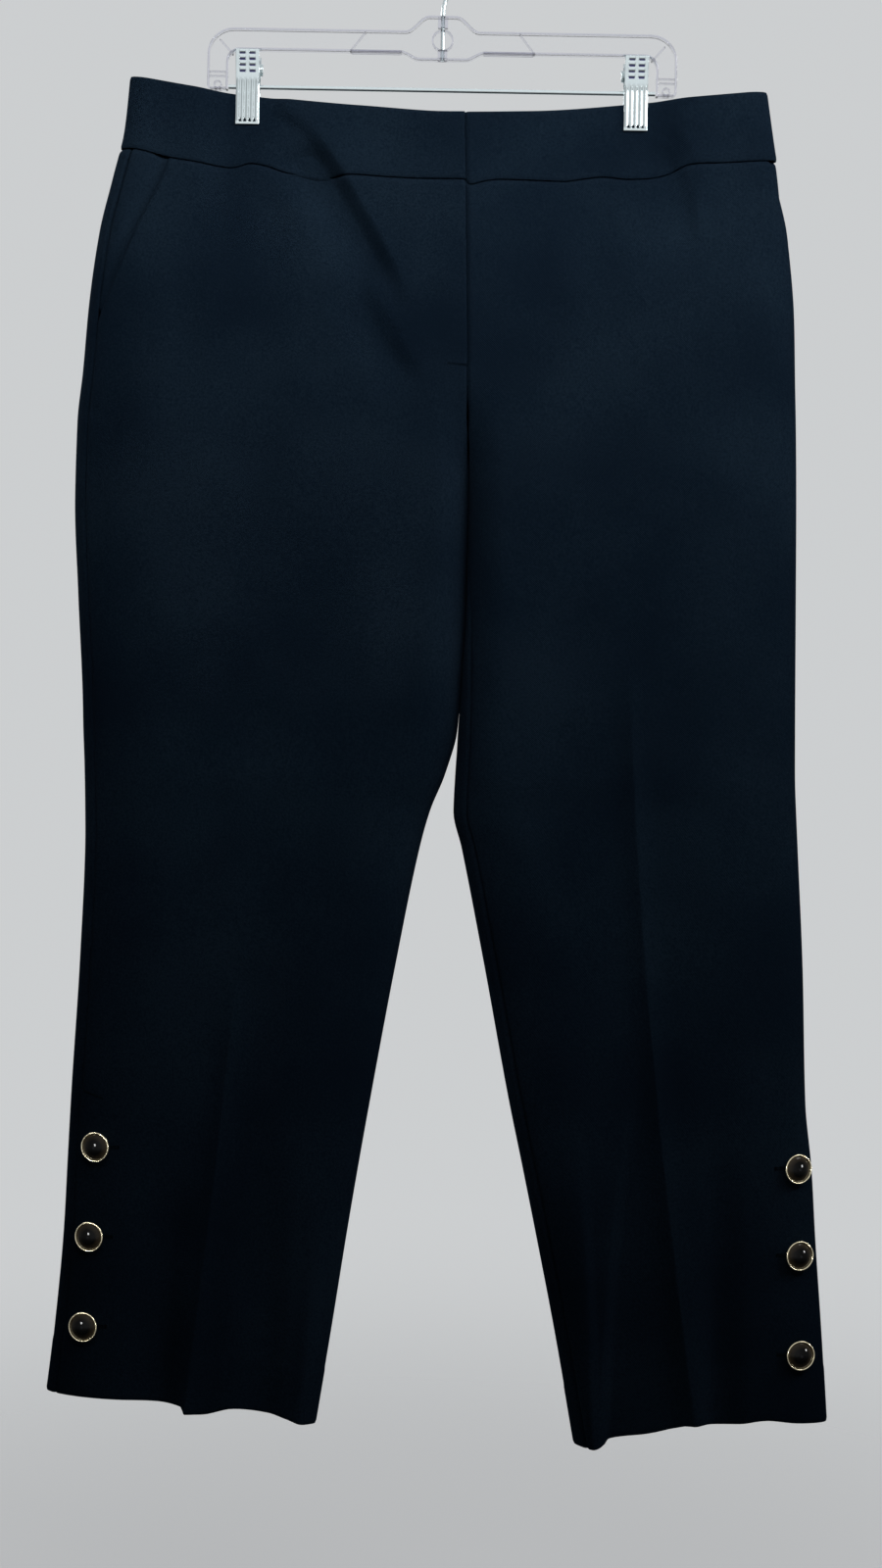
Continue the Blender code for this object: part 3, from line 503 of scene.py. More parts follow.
def sections(side, heights, closed):
    """One side's cross-sections, a ring for each row."""
    outer = edge_along(SECTION[side + "_outer"], heights)
    fronts_inner = edge_along(lambda z: inner_edge(side, "front", z), heights)
    backs_inner = edge_along(lambda z: inner_edge(side, "back", z), heights)
    share = 0.5 - 0.5 * np.cos(np.linspace(0.0, math.pi, DENSE + 1))
    front_x = fronts_inner + (outer - fronts_inner) * share
    back_x = outer + (backs_inner - outer) * share
    front_z, back_z = heights(front_x), heights(back_x)
    front_y = -depth(side, "front", front_x, front_z)
    back_y = depth(side, "back", back_x, back_z)
    x = np.concatenate([front_x, back_x[:, 1:]], axis=1)
    y = np.concatenate([front_y, back_y[:, 1:]], axis=1)
    z = np.concatenate([front_z, back_z[:, 1:]], axis=1)
    return [ring(side, *row) for row in zip(x, y, z, closed)]


def ring(side, x, y, z, closed):
    """A section as close points from the centre front or the inner fold, round the outer fold
    and back. A leg's is closed, and runs on past both ends."""
    first = 0
    if closed:
        first = DENSE // 2
        x, y, z = (np.concatenate([a[-1 - first : -1], a, a[1 : first + 1]]) for a in (x, y, z))
    steps = np.hypot(np.diff(x), np.diff(y))
    arc = np.concatenate([[0.0], np.cumsum(steps)])
    arc = arc - arc[first]
    along_x, along_y = np.gradient(x, arc), np.gradient(y, arc)
    size = np.hypot(along_x, along_y)
    turn_side = 1.0 if side == "left" else -1.0
    normal_x, normal_y = turn_side * along_y / size, -turn_side * along_x / size
    heading = np.unwrap(np.arctan2(normal_y, normal_x))
    turning = np.concatenate([[0.0], np.cumsum(np.abs(np.diff(heading)))]) / (2.0 * math.pi)
    last = first + 2 * DENSE
    return {
        "points": np.column_stack([x, y, z]),
        "normals": np.column_stack([normal_x, normal_y, np.zeros(len(x))]),
        "arc": arc,
        "measure": arc / (arc[last] - arc[first]) + BEND_SHARE * turning,
        "length": arc[last],
        "front": slice(first, first + DENSE + 1),
        "back": slice(first + DENSE, last + 1),
    }


def place(section, layer, fold, distance):
    """The place along a section that lies this far in from the outer or the inner fold."""
    x = section["points"][section[layer], 0]
    arc = section["arc"][section[layer]]
    at_outer = x[-1] if layer == "front" else x[0]
    at_inner = x[0] if layer == "front" else x[-1]
    away = np.abs(x - (at_outer if fold == "outer" else at_inner))
    order = np.argsort(away)
    return float(np.interp(distance, away[order], arc[order]))


def divided(section, start, end, columns):
    """A stretch of a section: its points, outward directions and places along it, closer
    together at bends and at both edges."""
    edge = np.array(EDGE_STEPS) * min(1.0, (end - start) / (4.0 * EDGE_STEPS[-1]))
    inner = np.interp([start + edge[-1], end - edge[-1]], section["arc"], section["measure"])
    marks = np.linspace(*inner, columns + 1)[1:-1]
    middle = np.interp(marks, section["measure"], section["arc"])
    places = np.concatenate([start + edge, middle, (end - edge)[::-1]])
    points, normals = (
        np.column_stack([np.interp(places, section["arc"], section[what][:, i]) for i in range(3)])
        for what in ("points", "normals")
    )
    return points, normals / np.linalg.norm(normals, axis=1)[:, None], places


# ---- from sections to shells ---------------------------------------------------------------


def quads(rows, columns, outwards):
    """The faces of a grid of points."""
    at = np.arange(rows * columns).reshape(rows, columns)
    corners = [at[:-1, :-1], at[:-1, 1:], at[1:, 1:], at[1:, :-1]]
    return np.stack(corners if outwards else corners[::-1], axis=-1).reshape(-1, 4)


def thickened(thing, label, thickness):
    """Thickens a surface behind its outer face."""
    thicken = thing.modifiers.new(label, "SOLIDIFY")
    thicken.thickness = thickness * MM
    thicken.offset = -1.0


def shell(name, grid, flats, thickness, outwards):
    """A shell through a grid of points on its outer face, with the cloth's own measures as its
    UV map."""
    faces = quads(*grid.shape[:2], outwards)
    data = bpy.data.meshes.new(name)
    data.from_pydata((grid.reshape(-1, 3) * MM).tolist(), [], faces.tolist())
    places = data.uv_layers.new(name="cloth")
    places.data.foreach_set("uv", (flats.reshape(-1, 2)[faces.reshape(-1)] * MM).ravel())
    data.shade_smooth()
    thing = new_object(name, data)
    thickened(thing, "cloth", thickness)
    return thing


def turned_in(distance, turn):
    """How far an edge's turn sinks the cloth at this distance from the edge."""
    sink, reach = turn
    return -sink * np.exp(-((distance / reach) ** 2))


def rows_between(top, foot, step, *through):
    """Levels from the top to the foot, close at both and passing through the others."""
    edge = np.array(EDGE_STEPS)
    stops = [top - edge[-1], *through, foot + edge[-1]]
    levels = [top - edge]
    for upper, lower in zip(stops, stops[1:]):
        count = max(round((upper - lower) / step), 1)
        levels.append(np.linspace(upper, lower, count + 1)[1:])
    levels.append(foot + edge[-2::-1])
    return np.concatenate(levels)


def side_seam(side, section):
    if side == "right":
        return place(section, "front", "outer", RIGHT_SIDE_SEAM)
    return place(section, "back", "outer", LEFT_SIDE_SEAM)


def inseam(side, section, level):
    """Where the inseam lies, past the start of a leg's section or before it."""
    settled = float(eased((CROTCH - level) / INSEAM_SETTLES))
    if side == "right":
        return place(section, "back", "inner", RIGHT_INSEAM * settled) - section["length"]
    return place(section, "front", "inner", LEFT_INSEAM * settled)


def pocket_width(z):
    """From the pocket's slant edge to the side seam."""
    share = min(max((z - POCKET_FOOT) / (WAIST_LEVEL - POCKET_FOOT), 0.0), 1.0)
    return POCKET_WIDTH * (1.0 - (1.0 - share) ** POCKET_CURVE)


def mixed(share, turn, other):
    """A turn between two others."""
    return tuple(a + (b - a) * float(share) for a, b in zip(turn, other))


POCKET_ROWS = [POCKET_FOOT + rise for rise in (6.0, 3.0, 1.2, 0.0)]
PANEL_LEVELS = rows_between(
    WAIST_LEVEL, HEM_LEVEL, ROW_STEP, *POCKET_ROWS, FLY_END, CROTCH, VENT_TOP + 2.0, VENT_TOP
)


def cloth_piece(node, rows, thickness, outwards, flat, rests_on, **cut):
    """A shell through rows of points, places along them and levels. It takes its solid's place; the cut
    it is given is not used."""
    grid = np.array([points for points, _, _ in rows])
    flats = np.array([np.column_stack([p, np.full(len(p), level)]) for _, p, level in rows])
    thing = shell(f"{node}_cloth", grid, flats, thickness, outwards)
    finish(thing, CLOTH_LOOK, "trouser_cloth", node)


def panel_row(side, layer, level, section, seam):
    """One row of a panel, with its edges turned in at their seams."""
    closed = level <= CROTCH
    front_start = inseam(side, section, level) if closed else 0.0
    back_end = front_start + section["length"]
    parted = eased((CROTCH - level) / PARTING) if closed else 0.0
    gap = SEAM / 2.0 * parted
    vent = eased((VENT_TOP - level) / VENT_FADE)
    fly = eased((level - FLY_END) / FLY_FADE)
    pocket = eased((level - POCKET_FOOT) / POCKET_FADE)
    in_seat = float(eased((level - CROTCH) / SEAT_SEAM_FADE))
    seam_turn = (SEAM_TURN[0] * max(parted, in_seat), SEAM_TURN[1])
    if layer == "front":
        start, end = front_start + gap, seam - max(SEAM / 2.0, pocket_width(level))
        inner_turn = mixed(fly, seam_turn, FOLDED_EDGE if side == "right" else UNDER_FRONT)
        outer_turn = mixed(vent, mixed(pocket, SEAM_TURN, SLANT_EDGE), FOLDED_EDGE)
    else:
        start, end = seam + SEAM / 2.0, back_end - gap
        inner_turn = seam_turn
        outer_turn = mixed(vent, SEAM_TURN, UNDER_FRONT)
    columns = round(PANEL_ROUND[layer] / COLUMN_STEP)
    points, normals, places = divided(section, start, end, columns)
    from_start, from_end = places - start, end - places
    inner, outer = (from_start, from_end) if layer == "front" else (from_end, from_start)
    rise = turned_in(inner, inner_turn) + turned_in(outer, outer_turn)
    rise = rise + turned_in(WAIST_LEVEL - level, UNDER_BAND) + turned_in(level - HEM_LEVEL, HEM_TURN)
    rise = rise + HEM_RISE * eased((HEM_LEVEL + HEM_DEPTH - level) / HEM_FADE)
    return points + normals * rise[:, None], places, level


def panels(side):
    rings = sections(side, panel_heights(PANEL_LEVELS), PANEL_LEVELS <= CROTCH)
    rows = {"front": [], "back": []}
    for level, section in zip(PANEL_LEVELS, rings):
        seam = side_seam(side, section)
        for layer in rows:
            rows[layer].append(panel_row(side, layer, level, section, seam))
    band = [f"waistband_{side}_cloth"]
    for layer in rows:
        node = f"{layer}_{side}_panel"
        cloth_piece(node, rows[layer], SHELL, side == "right", PANEL_FLAT, band, area=PANEL_AREA)
    pocket_facing(side, rings)
    vent_underlap(side, rings)


def waistband(side):
    edge = np.array(EDGE_STEPS) / BAND_HEIGHT
    middle = np.linspace(1.0 - edge[-1], edge[-1], BAND_ROWS)[1:-1]
    shares = np.concatenate([1.0 - edge, middle, edge[::-1]])
    rings = sections(side, band_heights(shares), np.zeros(len(shares), bool))
    front_turn = FOLDED_EDGE if side == "right" else UNDER_FRONT
    rows = []
    for share, section in zip(shares, rings):
        points, normals, places = divided(section, 0.0, section["length"], BAND_COLUMNS)
        from_foot, from_top = share * BAND_HEIGHT, (1.0 - share) * BAND_HEIGHT
        rise = turned_in(places, front_turn) + turned_in(section["length"] - places, SEAM_TURN)
        rise = rise + turned_in(from_foot, BAND_FOOT_TURN) + turned_in(from_top, HEM_TURN)
        rows.append((points + normals * rise[:, None], places, from_foot))
    grips = [f"clip_front_{side}_plate", f"clip_back_{side}_plate"]
    cloth_piece(f"waistband_{side}", rows, BAND_SHELL, side == "right", BAND_FLAT, grips)


def pocket_facing(side, rings):
    """The cloth seen in the slant pocket: under the front panel at its edge, and level with
    the panel at the side seam."""
    rows = []
    for level, section in zip(PANEL_LEVELS, rings):
        if level < FACING_FOOT:
            break
        width = pocket_width(level)
        end = side_seam(side, section) - SEAM / 2.0
        start = end - width - POCKET_UNDERLAP
        points, normals, places = divided(section, start, end, FACING_COLUMNS)
        past_slant = places - (end - width) - POCKET_SHADE
        step = max(min(POCKET_STEP, width - POCKET_SHADE), 0.5)
        sunk = FACING_SUNK * (1.0 - eased(past_slant / step))
        rise = turned_in(end - places, SEAM_TURN) + turned_in(WAIST_LEVEL - level, UNDER_BAND) - sunk
        rows.append((points + normals * rise[:, None], places, level))
    node, band = f"pocket_facing_{side}", [f"waistband_{side}_cloth"]
    cloth_piece(node, rows, UNDER_SHELL, side == "right", FACING_FLAT, band, area=FACING_AREA)


def vent_underlap(side, rings):
    """The buttoned opening's under layer, behind the edges of the front and back panels."""
    rows = []
    for level, section in zip(PANEL_LEVELS, rings):
        if level > VENT_TOP:
            continue
        seam = side_seam(side, section)
        reach = (seam - VENT_UNDER, seam + VENT_BEHIND)
        points, normals, places = divided(section, *reach, UNDERLAP_COLUMNS)
        rows.append((points - normals * (CLOTH + UNDER_GAP), places, level))
    back = [f"back_{side}_panel_cloth"]
    cloth_piece(f"vent_underlap_{side}", rows, UNDER_SHELL, side == "right", UNDERLAP_FLAT, back)


def fly_underlap():
    """A strip behind the fly, from the waistband's top edge to the fly's foot."""
    across = np.linspace(*UNDERLAP_REACH, FLY_COLUMNS)
    rows = []
    for z in np.linspace(UNDERLAP_TOP, UNDERLAP_FOOT, FLY_ROWS):
        level = np.full(across.shape, z)
        right = depth("right", "front", across, level, lapped=False)
        left = depth("left", "front", across, level)
        stands = np.where(across < inner_edge("right", "front", z), right, left)
        points = np.column_stack([across, -(stands - FLY_SUNK - LAYER), level])
        rows.append((points, across, z))
    cloth_piece("fly_underlap", rows, UNDER_SHELL, False, FLY_FLAT, ["front_left_panel_cloth"])


# What each sheet was cut to, in metres: width and length, and the area where it tapers.
PANEL_FLAT = (0.30, 0.88)
PANEL_AREA = 0.2
BAND_FLAT = (0.46, 0.048)
FACING_FLAT = (0.045, 0.11)
FACING_AREA = 0.0035
UNDERLAP_FLAT = (0.030, 0.21)
FLY_FLAT = (0.046, 0.168)


# ---- materials -----------------------------------------------------------------------------


def feed(tree, node, inputs):
    """Sets a node's inputs, each a value or a socket to link."""
    for name, value in inputs.items():
        if isinstance(value, bpy.types.NodeSocket):
            tree.links.new(value, node.inputs[name])
        else:
            node.inputs[name].default_value = value


def add(tree, kind, inputs, **settings):
    """A shader node with its settings and inputs."""
    made = tree.nodes.new("ShaderNode" + kind)
    for name, value in settings.items():
        setattr(made, name, value)
    feed(tree, made, inputs)
    return made


def read(tree, kind, output):
    """What a node that has no inputs gives."""
    return tree.nodes.new("ShaderNode" + kind).outputs[output]


def noise(tree, where, scale, detail):
    return add(tree, "TexNoise", {"Vector": where, "Scale": scale, "Detail": detail}).outputs["Fac"]


def maths(tree, operation, *values):
    return add(tree, "Math", dict(enumerate(values)), operation=operation).outputs[0]


def length(tree, vector):
    return add(tree, "VectorMath", {0: vector}, operation="LENGTH").outputs["Value"]


def ranged(tree, value, start, end, low=0.0, high=1.0, **settings):
    """A value mapped from one stretch of numbers to another."""
    ends = {"Value": value, "From Min": start, "From Max": end, "To Min": low, "To Max": high}
    return add(tree, "MapRange", ends, **settings).outputs["Result"]


def mixed_colours(tree, factor, low, high):
    colours = {"Factor": factor, 6: (*low, 1.0), 7: (*high, 1.0)}
    return add(tree, "Mix", colours, data_type="RGBA").outputs[2]


def shaded(name, inputs):
    """A material with a Principled shader, and its node tree."""
    made = bpy.data.materials.new(name)
    made.use_nodes = True
    shader = made.node_tree.nodes["Principled BSDF"]
    feed(made.node_tree, shader, inputs)
    return made, made.node_tree, shader


def cloth_material():
    """Matte blue-black wool-like cloth: a fine twill, a little nap and a faint sheen."""
    looks = {
        "Roughness": 0.92,
        "Specular IOR Level": 0.004,
        "Sheen Weight": 0.006,
        "Sheen Roughness": 0.5,
        "Sheen Tint": (0.55, 0.68, 1.0, 1.0),
    }
    made, tree, shader = shaded("matte blue-black cloth", looks)
    flat = add(tree, "UVMap", {}, uv_map="cloth").outputs["UV"]
    where = read(tree, "TexCoord", "Object")
    weave = {"Vector": flat, "Scale": 520.0, "Distortion": 0.6, "Detail": 1.0}
    twill = add(tree, "TexWave", weave, bands_direction="DIAGONAL").outputs["Fac"]
    nap = noise(tree, where, 700.0, 3.0)
    broad = noise(tree, where, 9.0, 2.0)
    shade = ranged(tree, maths(tree, "MULTIPLY", nap, broad), 0.15, 0.38)
    colour = mixed_colours(tree, shade, (0.0050, 0.0108, 0.0200), (0.0104, 0.0203, 0.0335))
    height = maths(tree, "ADD", nap, twill)
    bump = add(tree, "Bump", {"Height": height, "Strength": 0.5, "Distance": 0.0002})
    feed(tree, shader, {"Base Color": colour, "Normal": bump.outputs["Normal"]})
    return made


def metal(name, colour, roughness, grain):
    """A bright metal, its gloss a little uneven."""
    made, tree, shader = shaded(name, {"Metallic": 1.0})
    wear = noise(tree, read(tree, "TexCoord", "Object"), grain, 4.0)
    rough = ranged(tree, wear, 0.0, 1.0, roughness * 0.7, roughness * 1.4)
    tint = mixed_colours(tree, wear, tuple(c * 0.9 for c in colour), colour)
    feed(tree, shader, {"Roughness": rough, "Base Color": tint})
    return made


def dome_material():
    """Gloss resin: smoky brown round a black centre with a small grey spot there, which is a painted
    highlight.
    """
    made, tree, shader = shaded("smoky resin", {"Roughness": 0.06, "Specular IOR Level": 0.14})
    split = add(tree, "SeparateXYZ", {"Vector": read(tree, "TexCoord", "Object")}).outputs
    flat = add(tree, "CombineXYZ", {"X": split["X"], "Y": split["Y"]}).outputs["Vector"]
    share = ranged(tree, length(tree, flat), 0.0, DOME_RADIUS * MM)
    ramp = add(tree, "ValToRGB", {"Fac": share})
    # The grey at the centre is a painted highlight; the black and the brown ring are the resin's own
    # colour.
    grey, black = (0.03, 0.033, 0.04), (0.0010, 0.0010, 0.0010)
    stops = (
        (0.0, grey), (0.08, grey), (0.13, (0.0010, 0.0010, 0.0012)),
        (0.56, black), (0.72, (0.03, 0.022, 0.013)), (1.0, (0.075, 0.058, 0.037)),
    )
    elements = ramp.color_ramp.elements
    while len(elements) < len(stops):
        elements.new(0.5)
    for element, (position, colour) in zip(elements, stops):
        element.position = position
        element.color = (*colour, 1.0)
    feed(tree, shader, {"Base Color": ramp.outputs["Color"]})
    return made


def plastic_material():
    """Clear moulded plastic, lilac grey where it is thick."""
    made, tree, shader = shaded("clear plastic", {"IOR": 1.49, "Transmission Weight": 1.0})
    where = read(tree, "TexCoord", "Object")
    proud = maths(tree, "ABSOLUTE", add(tree, "SeparateXYZ", {"Vector": where}).outputs["Y"])
    thick = ranged(tree, proud, WEB / 2.0 * MM, HANGER_THICKNESS / 2.0 * MM)
    tint = mixed_colours(tree, thick, (0.98, 0.98, 0.99), (0.84, 0.84, 0.92))
    rough = ranged(tree, noise(tree, where, 60.0, 3.0), 0.0, 1.0, 0.03, 0.12)
    feed(tree, shader, {"Base Color": tint, "Roughness": rough})
    return made


def thread_material():
    """Sewing thread, a little darker than the cloth and a little brighter in the light."""
    looks = {"Roughness": 0.8, "Specular IOR Level": 0.02}
    made, tree, shader = shaded("blue-black thread", looks)
    ply = noise(tree, read(tree, "TexCoord", "Object"), 2500.0, 2.0)
    colour = mixed_colours(tree, ply, (0.0018, 0.0034, 0.0060), (0.0040, 0.0075, 0.0125))
    feed(tree, shader, {"Base Color": colour})
    return made


CLOTH_LOOK = cloth_material()
THREAD_LOOK = thread_material()
STEEL = metal("bright steel", (0.84, 0.93, 0.95), 0.2, 400.0)
# A dark steel for the faces in the clips' pressed slots: painted shade, where the slots would lie in
# shade.
PAINTED_SLOT_SHADE = metal("steel in shade", (0.12, 0.12, 0.27), 0.5, 400.0)
GOLD = metal("pale gold", (0.88, 0.79, 0.56), 0.2, 500.0)
RESIN = dome_material()
PLASTIC = plastic_material()


# ---- buttons -------------------------------------------------------------------------------

LATHE_STEPS = 48
RIM_PROFILE = (
    (8.0, 3.0), (8.75, 3.05), (8.9, 3.6), (9.05, 4.05), (9.3, 4.3), (9.6, 4.3), (9.88, 4.05),
    (10.0, 3.6), (9.95, 3.0), (9.7, 2.4), (9.2, 2.05), (8.4, 1.85), (5.0, 1.7), (3.0, 1.6),
    (2.6, 1.3), (2.6, 0.1),
)
DOME_PROFILE = (
    (0.0, 5.95), (1.2, 5.92), (2.4, 5.8), (3.6, 5.58), (4.6, 5.32), (5.4, 5.02), (6.2, 4.7),
    (7.0, 4.3), (7.7, 3.92), (8.2, 3.6), (8.45, 3.35), (8.5, 3.1),
)


def turned(name, profile):
    """A profile turned about Z, from the top down the outer side."""
    data = bpy.data.meshes.new(name)
    corners = [(radius * MM, 0.0, height * MM) for radius, height in profile]
    data.from_pydata(corners, [(i, i + 1) for i in range(len(corners) - 1)], [])
    thing = new_object(name, data)
    screw = thing.modifiers.new("turn", "SCREW")
    screw.steps = LATHE_STEPS
    screw.render_steps = LATHE_STEPS
    screw.use_merge_vertices = True
    screw.merge_threshold = 0.00001
    screw.use_smooth_shade = True
    return thing


def on_cloth(side, x, z):
    """A place on the front's outer face, and the direction out of the cloth there."""
    step = 1.5
    across = depth(side, "front", np.array([x - step, x, x + step]), np.full(3, z))
    down = depth(side, "front", np.full(2, x), np.array([z - step, z + step]))
    slope_x = (across[2] - across[0]) / (2.0 * step)
    slope_z = (down[1] - down[0]) / (2.0 * step)
    return Vector((x, -across[1], z)), Vector((-slope_x, -1.0, -slope_z)).normalized()


def buttons(side):
    for number, (x, z) in enumerate(BUTTON_CENTRES[side], 1):
        spot, out = on_cloth(side, x, z)
        for kind, profile, material, slot in (
            ("rim", RIM_PROFILE, GOLD, "button_metal"),
            ("dome", DOME_PROFILE, RESIN, "button_black"),
        ):
            node = f"button_{kind}_{side}_{number}"
            thing = turned(f"{node}_turned", profile)
            thing.location = spot * MM
            thing.rotation_euler = out.to_track_quat("Z", "Y").to_euler()
            finish(thing, material, slot, node)


# ---- sewing and hanger ---------------------------------------------------------------------

THREAD = 0.17
THREAD_PROUD = 0.05
TACK_WIDTH = 1.6
TACKS = (
    ("fly_tack", "right", "front", (7.2, -294.3), (20.2, -295.2)),
    ("vent_tack_right", "right", "front", (-230.3, -788.3), (-216.3, -792.6)),
    ("vent_tack_left", "left", "back", (251.0, -788.3), (237.0, -792.6)),
)
BUTTONHOLE_REACH = (4.0, 14.6)  # from a button's centre
BUTTONHOLE_LIP = 0.75

CORNER_STEPS = 12
FLANGE = 1.5  # width of the rim round the hanger's thin web
ROD_COLLAR_X = 152.6
ROD_COLLAR_RISE = 1.2
ROD_COLLAR_RADII = (2.9, 1.9)
HOOK_RING_HEIGHT = -71.0
HOOK_RING_RADII = (7.4, 6.3)
HOOK_COLLARS = ((-55.8, -62.5, 3.4), (-77.5, -83.2, 3.2))  # top, foot and half width
# Ribs: where each starts and ends, its half width and its half depth.
HANGER_RIBS = (
    ((52.5, -66.0), (62.6, -79.0), 0.55, 1.7),
    ((151.5, -72.5), (142.5, -82.5), 0.6, 1.7),
    ((28.0, -79.3), (62.0, -79.3), 0.9, 2.2),
    ((147.0, -94.6), (158.5, -94.6), 0.5, 1.9),
    ((147.0, -97.6), (158.5, -97.6), 0.5, 1.9),
)


def corner(centre_x, centre_z, radius, from_angle, to_angle):
    """Points round a corner of the hanger's outline, angles in degrees."""
    angles = np.radians(np.linspace(from_angle, to_angle, CORNER_STEPS + 1))
    return [(centre_x + radius * math.cos(a), centre_z + radius * math.sin(a)) for a in angles]


def slope(start, end, steps):
    """Points on a smooth rise or fall between two places."""
    shares = np.linspace(0.0, 1.0, steps + 1)
    return [
        (start[0] + (end[0] - start[0]) * s, start[1] + (end[1] - start[1]) * float(eased(s)))
        for s in shares
    ]


def hanger_outline():
    """The right half from the top's middle down and round to the foot's, then its mirror."""
    wide, inside = HANGER_HALF_WIDTH, ARM_INSIDE
    half = slope((9.5, HANGER_TOP), (25.0, BEAM_TOP), 8)
    half += corner(wide - OUTER_CORNER, BEAM_TOP - OUTER_CORNER, OUTER_CORNER, 90, 0)
    half += corner(wide - TIP_CORNER, ARM_FOOT + TIP_CORNER, TIP_CORNER, 0, -90)
    half += [(inside, ARM_FOOT)]
    half += corner(inside - INNER_CORNER, BEAM_FOOT - INNER_CORNER, INNER_CORNER, 0, 90)
    half += slope((29.0, BEAM_FOOT), (16.0, -84.5), 6)
    return half + [(-x, z) for x, z in reversed(half)]


def inset(loop, distance):
    """A clockwise outline moved in."""
    points = np.array(loop)
    ahead = np.roll(points, -1, axis=0) - points
    ahead = ahead / np.linalg.norm(ahead, axis=1)[:, None]
    inwards = np.column_stack([ahead[:, 1], -ahead[:, 0]])
    middle = inwards + np.roll(inwards, 1, axis=0)
    middle = middle / np.maximum((middle * middle).sum(axis=1)[:, None] / 2.0, 0.5)
    return points + middle * distance


def loop_verts(mesh, loop, y):
    return [mesh.verts.new((x * MM, y * MM, z * MM)) for x, z in loop]


def joined(mesh, ring_a, ring_b):
    count = len(ring_a)
    for i in range(count):
        j = (i + 1) % count
        mesh.faces.new((ring_a[i], ring_a[j], ring_b[j], ring_b[i]))


def slab(mesh, loop, half_depth, y=0.0):
    """A flat solid of one outline."""
    front, back = (loop_verts(mesh, loop, y + reach) for reach in (-half_depth, half_depth))
    mesh.faces.new(front)
    mesh.faces.new(back[::-1])
    joined(mesh, front, back)


def hoop(mesh, outer, inner, half_depth):
    """A flat solid between two outlines of as many points."""
    rings = [
        loop_verts(mesh, loop, reach)
        for loop, reach in (
            (outer, -half_depth), (outer, half_depth), (inner, half_depth), (inner, -half_depth),
        )
    ]
    for ring_a, ring_b in zip(rings, rings[1:] + rings[:1]):
        joined(mesh, ring_a, ring_b)


def rib_outline(start, end, half_width):
    start, end = np.array(start), np.array(end)
    ahead = (end - start) / np.linalg.norm(end - start)
    aside = np.array([ahead[1], -ahead[0]]) * half_width
    return [start - aside, end - aside, end + aside, start + aside]


def circle(radius, centre_x, centre_z, steps=40):
    angles = np.linspace(0.0, -2.0 * math.pi, steps, endpoint=False)
    return [(centre_x + radius * math.cos(a), centre_z + radius * math.sin(a)) for a in angles]


def hanger_body():
    """A thin web with a rim all round it, ribs, and collars for the hook and the rod."""
    mesh = bmesh.new()
    outline = hanger_outline()
    hoop(mesh, outline, inset(outline, FLANGE), HANGER_THICKNESS / 2.0)
    slab(mesh, inset(outline, FLANGE + 0.02), WEB / 2.0)
    for mirror in (1.0, -1.0):
        for start, end, half_width, half_depth in HANGER_RIBS:
            ends = [(x * mirror, z) for x, z in (start, end)]
            slab(mesh, rib_outline(*ends, half_width), half_depth)
        collar = (mirror * ROD_COLLAR_X, ROD_HEIGHT + ROD_COLLAR_RISE)
        hoop(mesh, *(circle(radius, *collar) for radius in ROD_COLLAR_RADII), 2.0)
    hoop(mesh, *(circle(radius, 0.0, HOOK_RING_HEIGHT) for radius in HOOK_RING_RADII), 2.1)
    for top, foot, wide in HOOK_COLLARS:
        slab(mesh, [(-wide, foot), (-wide, top), (wide, top), (wide, foot)], 2.15)
    bmesh.ops.recalc_face_normals(mesh, faces=mesh.faces)
    data = bpy.data.meshes.new("hanger_body_clear")
    mesh.to_mesh(data)
    mesh.free()
    thing = new_object("hanger_body_clear", data)
    finish(thing, PLASTIC, "clear_plastic", "hanger_body")
    bevel = thing.modifiers.new("rounded edges", "BEVEL")
    bevel.width = 0.3 * MM
    bevel.segments = 2
    bevel.limit_method = "ANGLE"
    bevel.angle_limit = math.radians(50.0)


def wire(name, radius, resolution, *routes):
    """Round wire along routes of close points."""
    data = bpy.data.curves.new(name, "CURVE")
    data.dimensions = "3D"
    data.bevel_depth = radius * MM
    data.bevel_resolution = resolution
    data.use_fill_caps = True
    for route in routes:
        spline = data.splines.new("POLY")
        spline.points.add(len(route) - 1)
        for point, (x, y, z) in zip(spline.points, route):
            point.co = (x * MM, y * MM, z * MM, 1.0)
        spline.use_smooth = True
    return new_object(name, data)


def satin(side, layer, start, end, width, pitch=0.5):
    """A close zigzag of thread on the cloth, from one place to another."""
    start, end = np.array(start), np.array(end)
    run = end - start
    length = float(np.linalg.norm(run))
    aside = np.array([-run[1], run[0]]) / length * width / 2.0
    turns = np.arange(2 * round(length / pitch) + 1)
    places = start + run * turns[:, None] / turns[-1] + aside * (2.0 * (turns[:, None] % 2) - 1.0)
    out = depth(side, layer, places[:, 0], places[:, 1]) + THREAD_PROUD
    return list(zip(places[:, 0], -out if layer == "front" else out, places[:, 1]))


def sewing():
    """The fly's bar tack, one at each vent's top, and a worked slot under each button."""
    for name, *bar in TACKS:
        tack = wire(f"{name}_thread", THREAD, 1, satin(*bar, TACK_WIDTH))
        finish(tack, THREAD_LOOK, "trouser_cloth")
    for side, centres in BUTTON_CENTRES.items():
        inwards = 1.0 if side == "right" else -1.0
        routes = []
        for x, z in centres:
            ends = [x + inwards * reach for reach in BUTTONHOLE_REACH]
            for lip in (-BUTTONHOLE_LIP, BUTTONHOLE_LIP):
                places = [(end, z + lip) for end in ends]
                routes.append(satin(side, "front", *places, BUTTONHOLE_LIP * 1.5))
            far = ends[1]
            places = [(far, z - 1.6 * BUTTONHOLE_LIP), (far, z + 1.6 * BUTTONHOLE_LIP)]
            routes.append(satin(side, "front", *places, 1.4))
        finish(wire(f"buttonholes_{side}_thread", THREAD, 1, *routes), THREAD_LOOK, "trouser_cloth")


